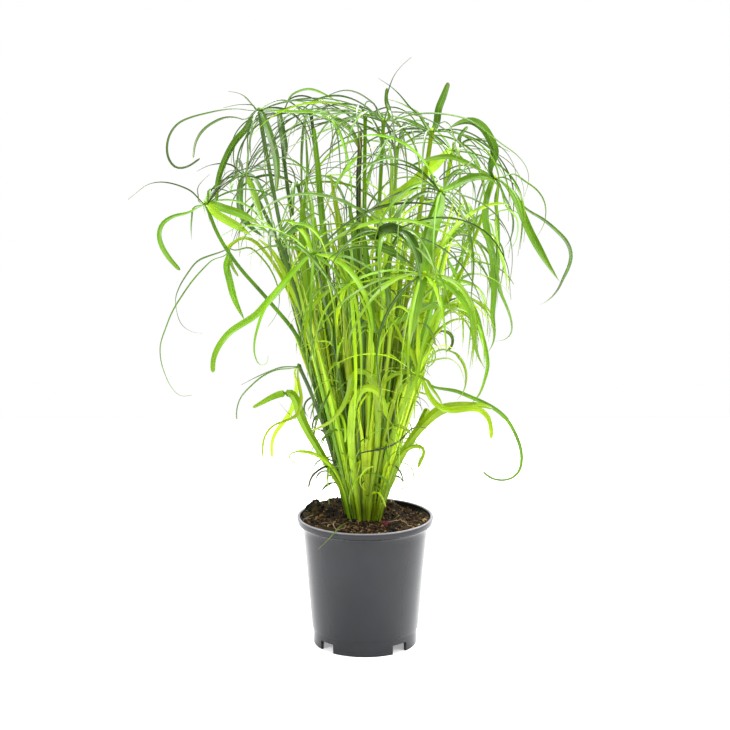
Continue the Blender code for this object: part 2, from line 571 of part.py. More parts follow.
def add_leaf(leaf, owner, axis, space):
    """Note a leaf in space: its foot beside the knob, and the rest of it."""
    rows, tip = ribbon(leaf)
    space.add(*closed_ribbon(rows[1:], tip), owner, "leaf")
    space.add(*leaf_foot(leaf, axis, rows[1]), owner, "foot")


def gap_to(angle, others):
    """Smallest angle between a direction and the others."""
    return min((abs((angle - other + math.pi) % (2 * math.pi) - math.pi) for other in others),
               default=math.pi)


def place_drawn_leaves(stems, crowns, space):
    """The leaves that the photograph shows one by one."""
    for name, width, face, end, reach, points in LEAVES:
        stem = stems[name]
        flat = np.array([on_front_plane(stem["crown"])[0]] + points, float)
        along = np.concatenate([[0.0], np.cumsum(np.linalg.norm(np.diff(flat, axis=0), axis=1))])
        share = along / along[-1]
        for shift in (0, 8, -8, 16, -16, 26, -26, 38, -38, 52, -52):
            way = []
            for (x, z), part in zip(points, share[1:]):
                point = seen(x, z, stem["crown"][1] + (reach + shift) * part)
                if np.linalg.norm(point - stem["crown"]) > KNOB_R + 8.5:
                    way.append(point)
            angle = azimuth(stem, way[0])
            crowded = gap_to(angle, [leaf["angle"] for leaf in crowns[name]])
            if crowded < LEAF_APART:
                continue
            first = unit(way[0] - stem["crown"])
            lift = math.asin(np.clip(first @ stem["axis"], -0.8, 0.8))
            leaf = crown_leaf(stem, angle, way, lift, width, face=face, end=end)
            if leaf_clear(leaf, name, stem["axis"], space):
                add_leaf(leaf, name, stem["axis"], space)
                crowns[name].append(leaf)
                break


def arched_way(stem, angle, length, lift, bend, curl, count=14):
    """Points of a leaf that leaves its crown at a lift and bends down more and more.

    The pitch falls with the 1.2th power of the length run, and the heading turns with its square.
    """
    out = outward(stem, angle)
    pitch0 = math.asin(np.clip(out[2], -1, 1)) + lift
    heading0 = math.atan2(out[1], out[0])
    share = (np.arange(count) + 0.5) / count
    pitch = np.maximum(pitch0 - bend * share ** 1.2, math.radians(-97))
    heading = heading0 + curl * share ** 2
    step = length / count * np.column_stack([np.cos(pitch) * np.cos(heading),
                                             np.cos(pitch) * np.sin(heading), np.sin(pitch)])
    start = stem["crown"] + KNOB_R * out
    way = start + np.cumsum(step, axis=0)
    way = way[np.linalg.norm(way - stem["crown"], axis=1) > KNOB_R + 9]
    return list(way[np.linspace(0, len(way) - 1, 6).astype(int)])


def place_unseen_leaves(stems, crowns, space, rng):
    """The crowns' other leaves, in turns, kept inside the outline."""
    wanted = {name: count for name, _, _, _, count, _ in STEMS}
    scale = {name: size for name, _, _, _, _, size in STEMS}
    for _ in range(16):
        for name, stem in stems.items():
            if len(crowns[name]) >= wanted[name]:
                continue
            taken = sorted(leaf["angle"] % (2 * math.pi) for leaf in crowns[name])
            if taken:
                gaps = np.diff(taken + [taken[0] + 2 * math.pi])
                widest = int(np.argmax(gaps))
                middle, half = taken[widest] + gaps[widest] / 2, gaps[widest] / 2
            else:
                middle, half = rng.uniform(0, 2 * math.pi), 0.2
            for attempt in range(40):
                loose = max(half - LEAF_APART, 0) * (0.3 + 0.7 * (attempt > 12))
                angle = middle + rng.uniform(-1, 1) * loose
                length = rng.uniform(*LEAF_LENGTHS) * scale[name] * (1 - 0.012 * attempt)
                lift = rng.uniform(*LEAF_LIFTS)
                bend = rng.uniform(*LEAF_BENDS)
                curl = rng.normal(0, LEAF_CURL)
                width = rng.uniform(*LEAF_WIDTHS)
                roll = (rng.normal(0, 12), rng.normal(0, 28))
                way = arched_way(stem, angle, length, lift, bend, curl)
                leaf = crown_leaf(stem, angle, way, lift, width, roll)
                flat = on_front_plane(leaf["path"][::4])
                if not inside(flat, OUTLINE).all() or np.abs(leaf["path"][:, 1]).max() > REACH:
                    continue
                if gap_to(angle, [other["angle"] for other in crowns[name]]) < LEAF_APART:
                    continue
                if leaf_clear(leaf, name, stem["axis"], space):
                    add_leaf(leaf, name, stem["axis"], space)
                    crowns[name].append(leaf)
                    break


def knob_sides(leaves):
    """The knob's corners in turn, each with the leaf that grows from the side after it, or None."""
    angles = [leaf["angle"] % (2 * math.pi) for leaf in leaves]
    corners = []
    for number, leaf in enumerate(leaves):
        before = angles[number - 1] - (2 * math.pi if number == 0 else 0)
        after = angles[(number + 1) % len(leaves)] + (2 * math.pi if number + 1 == len(leaves) else 0)
        right = max((before + angles[number]) / 2, angles[number] - SIDE_HALF)
        left = min((angles[number] + after) / 2, angles[number] + SIDE_HALF)
        next_right = max((angles[number] + after) / 2, after - SIDE_HALF)
        corners.append((right, leaf))
        if next_right - left > 1e-6:
            plain = math.ceil((next_right - left) / (2 * SIDE_HALF))
            corners += [(left + (next_right - left) * k / plain, None) for k in range(plain)]
    return corners


def crown_solid(stem, leaves):
    """Points and faces of a crown: the knob, whose sides run out into its leaves."""
    leaves = sorted(leaves, key=lambda leaf: leaf["angle"] % (2 * math.pi))
    corners = knob_sides(leaves)
    points, faces = [], []
    for sign in (1, -1):
        for angle, _ in corners:
            points.append(stem["crown"] + KNOB_R * outward(stem, angle)
                          + sign * stem["axis"] * KNOB_H / 2)
    count = len(corners)
    points.append(stem["crown"] + stem["axis"] * KNOB_H * 0.9)
    top = 2 * count
    for number, (_, leaf) in enumerate(corners):
        top_right, top_left = number, (number + 1) % count
        low_right, low_left = count + number, count + (number + 1) % count
        faces.append((top, top_right, top_left))
        if leaf is None:
            faces.append((top_right, low_right, low_left, top_left))
            continue
        rows, tip = ribbon(leaf)
        first = len(points)
        points += list(rows[1:].reshape(-1, 3)) + [tip]
        left, right, keel = first, first + 1, first + 2
        faces += split([(top_right, right, left, top_left), (low_right, keel, right, top_right),
                        (top_left, left, keel, low_left)])
        faces.append((low_left, keel, low_right))
        faces += ribbon_faces(len(rows) - 1, first)
    faces.append(tuple(range(2 * count - 1, count - 1, -1)))
    return np.array(points), faces


def pot_solid():
    """The pot: a turned wall with a lip and a raised floor, and a foot ring with four notches."""
    outer = [(FOOT_INNER_R, 0), (FOOT_R, 0), (FOOT_R + 0.2, NOTCH_H), (FOOT_R + 0.4, STEP_Z),
             (STEP_R, STEP_Z + 0.8), (WALL_TOP_R, WALL_TOP_Z), (RIM_R - 1.6, POT_H - 6.6),
             (RIM_R, POT_H - 4.8), (RIM_R, POT_H - 1.4), (RIM_R - 0.9, POT_H),
             (LIP_INNER_R + 0.9, POT_H), (LIP_INNER_R, POT_H - 1.8),
             (WALL_TOP_R - WALL, WALL_TOP_Z - 1.0), (STEP_R - WALL, STEP_Z + 1.2),
             (FOOT_INNER_R + 1.2, FLOOR_TOP_Z), (FOOT_INNER_R - 0.4, NOTCH_H)]
    count = len(outer)
    angle = POT_TURN + 2 * math.pi * np.arange(POT_SIDES) / POT_SIDES
    points = [(r * math.cos(a), r * math.sin(a), z) for a in angle for r, z in outer]
    floor_top, floor_under = len(points), len(points) + 1
    points += [(0, 0, FLOOR_TOP_Z), (0, 0, FLOOR_UNDER_Z)]
    faces = []
    inner_notch = count - 1
    floor_edge = count - 2
    for i in range(POT_SIDES):
        j = (i + 1) % POT_SIDES
        a, b = i * count, j * count
        notched = (i - NOTCH_FIRST) % NOTCH_EVERY < NOTCH_SPAN
        for k in range(count - 2):
            if not (notched and k < 2):
                faces.append((a + k, b + k, b + k + 1, a + k + 1))
        faces.append((floor_top, a + floor_edge, b + floor_edge))
        faces.append((floor_under, b + inner_notch, a + inner_notch))
        if notched:
            faces.append((a + 2, a + inner_notch, b + inner_notch, b + 2))
            if (i - NOTCH_FIRST) % NOTCH_EVERY == 0:
                faces.append((a + inner_notch, a + 2, a + 1, a))
            if (i - NOTCH_FIRST) % NOTCH_EVERY == NOTCH_SPAN - 1:
                faces.append((b, b + 1, b + 2, b + inner_notch))
        else:
            faces.append((a + inner_notch, b + inner_notch, b, a))
    return np.array(points, float), faces


def soil_height(x, y, rng):
    """Rough top of the soil outside the mound, heaped up at the rear left."""
    heaps = sum(high * math.exp(-((x - far_x)**2 + (y - far_y)**2) / wide**2)
                for far_x, far_y, high, wide in SOIL_HEAPS)
    return heaps + rng.uniform(-0.6, 0.6)


def soil_solid():
    """The peat: it fills the pot and is mounded flat under the clump."""
    rng = np.random.default_rng(7)
    wall_slope = (WALL_TOP_R - STEP_R) / (WALL_TOP_Z - STEP_Z)
    low_z = STEP_Z + 3
    side = [(FOOT_INNER_R + 0.3, FLOOR_TOP_Z + SOIL_GAP),
            (STEP_R - WALL - 0.7 + 3 * wall_slope, low_z),
            (WALL_TOP_R - WALL - 0.9, WALL_TOP_Z - 1.0)]
    angle = 2 * math.pi * np.arange(SOIL_SIDES) / SOIL_SIDES
    rings = [[(r * math.cos(a), r * math.sin(a), z) for a in angle] for r, z in side]
    for radius, height in ((SOIL_EDGE_R, SOIL_EDGE_Z), (SOIL_MID_R, SOIL_MID_Z)):
        ring = []
        for a in angle:
            z = height + soil_height(radius * math.cos(a), radius * math.sin(a), rng)
            wall = np.interp(z, (WALL_TOP_Z - 1.0, POT_H - 1.8), (WALL_TOP_R - WALL, LIP_INNER_R))
            r = min(radius, wall - 1.0)
            ring.append((r * math.cos(a), r * math.sin(a), z))
        rings.append(ring)
    rings.append([(MOUND_R * math.cos(a), MOUND_Y + MOUND_R * math.sin(a), MOUND_Z) for a in angle])
    points = [point for ring in rings for point in ring]
    faces = [tuple(range(SOIL_SIDES - 1, -1, -1))]
    for i in range(len(rings) - 1):
        for k in range(SOIL_SIDES):
            a, b = i * SOIL_SIDES + k, i * SOIL_SIDES + (k + 1) % SOIL_SIDES
            faces.append((a, b, b + SOIL_SIDES, a + SOIL_SIDES))
    last = (len(rings) - 1) * SOIL_SIDES
    faces.append(tuple(range(last, last + SOIL_SIDES)))
    return np.array(points, float), faces


def base_leaf_path(foot, points, depth_tip):
    """Dense path of a blade from the soil, through its points."""
    flat = np.array(points, float)
    along = np.concatenate([[0.0], np.cumsum(np.linalg.norm(np.diff(flat, axis=0), axis=1))])
    share = (along + 30) / (along[-1] + 30)
    depth = foot[1] + (depth_tip - foot[1]) * share ** 1.2
    start = np.array([foot[0], foot[1], STEM_FOOT_Z])
    way = [start] + [seen(x, z, d) for (x, z), d in zip(points, depth)]
    return smooth(way, 70)


def base_leaf(path, width, face, end):
    """A blade from the soil, with what a crown's leaf has."""
    side = unit(np.array([1.0, 0.25, 0.0]))
    return {"path": path, "side": side, "width": width, "roll": (0, 0), "face": face, "foot": 0.4,
            "rise": 0.6, "end": end}


def base_leaf_solid(leaf, grow=0.0):
    """A blade from the soil, cut level where it leaves it."""
    rows, tip = ribbon(leaf, grow, least=7, most=12)
    rows[0, :, 2] = STEM_FOOT_Z - grow
    return closed_ribbon(rows, tip)


def make_object(name, points, faces, origin, colour, roughness, smooth_shaded=False):
    """A named object with its own material, whose mesh is measured from its origin."""
    mesh = bpy.data.meshes.new(name)
    local = (points - origin) * MM
    mesh.from_pydata([tuple(p) for p in local], [], faces)
    mesh.validate()
    if smooth_shaded:
        mesh.shade_smooth()
        mesh.set_sharp_from_angle(angle=math.radians(30))
    material = bpy.data.materials.new(name)
    material.use_nodes = True
    shader = material.node_tree.nodes["Principled BSDF"]
    shader.inputs["Base Color"].default_value = (*colour, 1.0)
    shader.inputs["Roughness"].default_value = roughness
    shader.inputs["Metallic"].default_value = 0.0
    mesh.materials.append(material)
    made = bpy.data.objects.new(name, mesh)
    made.location = tuple(np.asarray(origin, float) * MM)
    bpy.context.scene.collection.objects.link(made)
    return made


def place_base_leaves(feet, space, rng):
    """The blades from the clump's foot by name, clear of the stems."""
    blades = {}
    for (name, width, face, end, _, depth_tip, points), foot in zip(BASE_LEAVES, feet[len(STEMS):]):
        for attempt in range(80):
            shift = rng.normal(0, 1, 2) * attempt * 0.15
            near = foot + (shift[0] * 0.3, shift[1] * 0.5)
            path = base_leaf_path(near, points, depth_tip + shift[1] * 3)
            leaf = base_leaf(path, width, face, end)
            if space.clear(*base_leaf_solid(leaf, CLEAR)):
                break
        else:
            raise RuntimeError("no clear way for blade " + name)
        blades[name] = leaf
        space.add(*base_leaf_solid(leaf), name, "blade")
    blades["dried"] = base_leaf(smooth(DRIED_BLADE, 50), DRIED_WIDTH, 0.0, 0.0)
    space.add(*base_leaf_solid(blades["dried"]), "dried", "blade")
    return blades


def grow_plant(space):
    """Every stem, blade and crown leaf in its place: the stems, the blades, and the leaves by crown."""
    rng = np.random.default_rng(24)
    feet = clump_feet()
    stems = place_stems(feet, space, rng)
    blades = place_base_leaves(feet, space, rng)
    crowns = {name: [] for name in stems}
    place_drawn_leaves(stems, crowns, space)
    place_unseen_leaves(stems, crowns, space, rng)
    return stems, blades, crowns


def main():
    for old in list(bpy.data.objects):
        bpy.data.objects.remove(old, do_unlink=True)
    make_object("pot", *pot_solid(), (0, 0, 0), POT_COLOUR, 0.42, smooth_shaded=True)
    make_object("soil", *soil_solid(), (0, 0, FLOOR_TOP_Z), SOIL_COLOUR, 0.95)
    stems, blades, crowns = grow_plant(Space())
    for name, leaf in blades.items():
        colour = DRIED_COLOUR if name == "dried" else BLADE_COLOUR
        make_object("base_leaf_" + name, *base_leaf_solid(leaf), leaf["path"][0], colour, 0.45)
    for name, stem in stems.items():
        solid = stem_solid(stem["path"], stem["axis"], stem["thickness"], stem["turn"])
        make_object("stem_" + name, *solid, stem["path"][0], STEM_COLOUR, 0.4)
        make_object("crown_" + name, *crown_solid(stem, crowns[name]), stem["crown"], LEAF_COLOUR, 0.4)


main()
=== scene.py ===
"""Looks of the potted umbrella sedge: pot, peat, stems, crowns of leaves and the stage around them.

The plant grows here by the same rules as its solids, in millimetres, and every surface is then made at
its full fineness around them. A mesh is in metres, in the frame of the solids: +Z is up, the origin is
on the ground under the middle of the pot, and the front of the plant faces -Y.
"""

import math

import bpy
import numpy as np
from bpy.props import (FloatProperty, FloatVectorProperty, IntProperty, PointerProperty)
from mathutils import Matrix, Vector
from mathutils.bvhtree import BVHTree


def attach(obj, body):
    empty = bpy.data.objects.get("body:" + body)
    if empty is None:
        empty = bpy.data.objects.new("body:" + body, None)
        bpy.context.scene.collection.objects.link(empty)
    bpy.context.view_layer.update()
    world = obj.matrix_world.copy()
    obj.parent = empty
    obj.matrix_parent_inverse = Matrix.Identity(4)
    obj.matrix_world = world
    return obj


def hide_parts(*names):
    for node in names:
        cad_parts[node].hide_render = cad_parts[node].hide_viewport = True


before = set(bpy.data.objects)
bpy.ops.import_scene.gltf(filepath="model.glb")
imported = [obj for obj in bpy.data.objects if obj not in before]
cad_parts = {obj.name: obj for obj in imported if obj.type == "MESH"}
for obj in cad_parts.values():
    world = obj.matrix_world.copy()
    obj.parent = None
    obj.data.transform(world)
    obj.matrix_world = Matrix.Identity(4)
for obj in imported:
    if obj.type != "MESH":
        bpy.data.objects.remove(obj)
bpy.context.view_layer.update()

bl_info = {
    "name": "Potted Umbrella Sedge",
    "version": (1, 0, 0),
    "blender": (4, 5, 0),
    "location": "View3D > Sidebar > Sedge",
    "description": "Builds a potted umbrella sedge around its solids",
    "category": "Add Mesh",
}

MM = 0.001

# Studio
FLOOR_HALF = 0.95
TABLE_GLOW = 0.35
# Light from the room's walls by their angle about the vertical: 0 is behind the plant, 90 its right.
WALLS = [(-180, (0.18, 0.18, 0.19)), (-120, (0.28, 0.28, 0.29)), (-84, (0.40, 0.40, 0.42)),
         (-60, (1.00, 1.00, 1.12)), (60, (1.00, 1.00, 1.12)), (84, (0.40, 0.40, 0.42)),
         (120, (0.32, 0.32, 0.33)), (180, (0.18, 0.18, 0.19))]
CEILING = (0.84, 0.84, 0.86)
# Lamps: name, size, share of the lamp power, place
LAMPS = [("top_lamp", 1.2, 1.3, (0.3, -0.2, 2.2)), ("left_lamp", 0.7, 0.6, (-1.5, -1.2, 1.5)),
         ("right_lamp", 0.7, 0.5, (1.7, -0.8, 1.5)), ("back_lamp", 1.0, 0.7, (0.2, 1.6, 1.5))]
LAMP_AIM = (0.0, 0.0, 0.3)
CAMERA_LENS = 96.46
CAMERA_SHIFT = -0.00027
CAMERA_PITCH = 11.4

# Sizes and growth shared with the solids

# Pot
RIM_R = 65.0
POT_H = 125.0
LIP_INNER_R = 62.0
WALL_TOP_R = 59.8
WALL_TOP_Z = 115.0
STEP_Z = 15.0
STEP_R = 51.0
FOOT_R = 49.3
FOOT_INNER_R = 46.6
WALL = 1.6
NOTCH_H = 9.0
FLOOR_UNDER_Z = 9.5
FLOOR_TOP_Z = 11.5
POT_SIDES = 36
POT_TURN = math.radians(2.0)
NOTCH_FIRST = 3
NOTCH_SPAN = 2
NOTCH_EVERY = 9

# Soil
SOIL_GAP = 0.4
SOIL_EDGE_R = 60.6
SOIL_EDGE_Z = 121.2
SOIL_MID_R = 45.0
SOIL_MID_Z = 121.4
MOUND_R = 31.5
MOUND_Y = 8.0
MOUND_Z = 121.0
# Heaps and a dip in the soil: x, y, height, radius.
SOIL_HEAPS = [
    (-49.0, 27.0, 8.0, 13.0), (-31.0, 46.0, 6.5, 13.0), (-9.0, 52.0, 5.0, 12.0), (22.0, 44.0, 5.5, 9.0),
    (45.0, 34.0, -3.2, 14.0)]

# Clump
CLUMP_Y = 12.0
CLUMP_RX = 15.0
CLUMP_RY = 21.0
STEM_SPACING = 6.1
STEM_FOOT_Z = MOUND_Z + 0.35
STEM_R_FOOT = 2.1
STEM_R_TOP = 1.6
STOUT_STEMS = {"12": 1.2, "13": 1.15, "14": 1.35, "16": 1.15, "18": 1.4, "19": 1.2, "22": 1.2}
STEM_PARTS = 5
# How much further out a stem's corners are than its radius
CORNER_REACH = 1.15
# How far a crown leans, across and in depth, when its foot is at the clump's edge
LEAN_X = 120
LEAN_Y = 125
# Feet of the broad blades: a share of their first point's x, and how far before the clump's middle
BLADE_FOOT_X = 0.62
BLADES_BEFORE = 14.0
SPREAD_ROUNDS = 400
STEM_TRIES = 200
BLADE_TRIES = 80
KNOB_R = 3.5
KNOB_H = 3.0
KNOB_GAP = 0.4
SIDE_HALF = math.radians(20.0)

# Leaves
KEEL = 0.16
KEEL_MIN = 0.45
CLEAR = 0.45
CLEAR_IN_CROWN = 0.15
LEAF_TURN = math.radians(38.0)
LEAF_RUN = 62.0
LEAF_APART = math.radians(13.0)
LEAF_LENGTHS = (105.0, 185.0)
LEAF_LIFTS = (math.radians(-5.0), math.radians(50.0))
LEAF_BENDS = (math.radians(70.0), math.radians(150.0))
LEAF_CURL = 0.35
LEAF_WIDTHS = (3.2, 6.5)
LOWEST_LEAF_Z = 140.0
# A leaf's first step from its knob, and shares of a blade: the least of its width, and where along it
# the face, the foot's roll and the tip's roll are full
FIRST_STEP = 6.5
SLIMMEST = 0.06
FACED_AT = 0.3
FOOT_ROLLED_AT = 0.2
TIP_ROLLED_AT = 0.6
# Depths tried for a drawn leaf, the rounds of the unseen ones, and their arches' steps and steepest pitch
DEPTH_SHIFTS = (0, 8, -8, 16, -16, 26, -26, 38, -38, 52, -52)
LEAF_ROUNDS = 16
LEAF_TRIES = 40
LOOSE_AFTER = 12
SHORTER = 0.012
LEAF_ROLLS = (12, 28)
ARCH_STEPS = 14
STEEPEST = math.radians(-97)
REACH = 203.0

# A direction that no stem runs along, to turn rings from
ASKEW = (0.3, 1.0, 0.1)

# The eye that the fan of leaves was drawn from. A leaf's points are given as (x, z) on the upright
# plane through the pot's axis, and depth moves each one along its line of sight.
EYE = np.array([0.0, -1800.0, 634.0])

# Outline that the unseen leaves keep inside, on the same plane.
OUTLINE = np.array([
    (-15, 122), (-30, 160), (-37, 190), (-42, 225), (-54, 262), (-66, 300), (-75, 345), (-92, 375),
    (-118, 378), (-131, 395), (-152, 412), (-150, 430), (-137, 452), (-124, 480), (-112, 505), (-92, 514),
    (-70, 524), (-45, 524), (-15, 522), (15, 519), (35, 512), (58, 502), (84, 500), (108, 497),
    (121, 482), (132, 468), (150, 448), (160, 425), (150, 396), (140, 372), (137, 345), (122, 330),
    (119, 300), (112, 270), (100, 268), (92, 285), (72, 282), (58, 262), (53, 232), (44, 200), (36, 172),
    (27, 148), (16, 122)], float)

# Stems: name, crown on the plane (x, z), its depth, points that the stem passes, leaves in the crown,
# length of its unseen leaves against the usual.
STEMS = [
    ("01", (-97, 509), -15, [(-22, 160), (-45, 245), (-66, 340), (-80, 410), (-89, 460)], 11, 1.0),
    ("02", (-79, 506), 55, [(-15, 160), (-36, 245), (-56, 345), (-70, 425)], 9, 0.9),
    ("03", (-110, 450), 62, [(-22, 165), (-48, 255), (-66, 322), (-81, 385)], 10, 0.95),
    ("04", (-147, 423), -15, [(-46, 247), (-62, 297), (-90, 333), (-122, 371), (-138, 398)], 11, 0.8),
    ("05", (-127, 383), 25, [(-42, 250), (-58, 305), (-75, 348), (-90, 374), (-108, 391), (-121, 391)], 8,
     0.7),
    ("06", (-62, 270), -20, [(-26, 170), (-40, 215), (-53, 250)], 6, 0.5),
    ("07", (-81, 391), -70, [(-18, 175), (-40, 255), (-58, 320)], 11, 0.9),
    ("08", (-47, 377), -95, [(-9, 170), (-22, 250), (-36, 325)], 11, 1.0),
    ("09", (-50, 507), 40, [(-12, 170), (-26, 280), (-38, 380), (-43, 450)], 10, 0.95),
    ("10", (0, 504), 10, [(-3, 180), (-3, 300), (-1, 420)], 12, 1.0),
    ("11", (17, 499), -35, [(3, 180), (9, 300), (13, 420)], 11, 1.0),
    ("12", (61, 490), -5, [(9, 170), (28, 270), (42, 360), (54, 440)], 12, 1.0),
    ("13", (80, 472), 75, [(14, 180), (38, 280), (58, 370), (72, 430)], 11, 1.0),
    ("14", (70, 435), -60, [(16, 170), (36, 245), (46, 310), (51, 360), (58, 403)], 12, 1.0),
    ("15", (119, 447), 5, [(20, 165), (42, 235), (63, 300), (88, 355), (108, 410)], 13, 1.0),
    ("16", (22, 397), -85, [(4, 180), (10, 260), (16, 330)], 12, 1.05),
    ("17", (-14, 348), -70, [(-4, 170), (-8, 240), (-12, 300)], 11, 1.0),
    ("18", (71, 327), -25, [(22, 155), (30, 185), (45, 240), (52, 262), (60, 292), (66, 310)], 9, 0.8),
    ("19", (78, 341), 42, [(17, 150), (34, 215), (52, 270), (67, 312)], 9, 0.9),
    ("20", (66, 384), 92, [(16, 170), (38, 260), (55, 335)], 10, 0.95),
    ("21", (55, 358), -110, [(12, 170), (28, 240), (44, 305)], 10, 1.0),
    ("22", (50, 262), -60, [(15, 150), (30, 200), (42, 238)], 7, 0.5),
    ("23", (30, 475), 125, [(6, 180), (16, 290), (25, 400)], 10, 1.0),
    ("24", (-62, 440), 130, [(-12, 180), (-32, 290), (-50, 380)], 10, 1.0),
    ("26", (100, 402), 130, [(18, 180), (50, 280), (80, 350)], 10, 0.9),
]

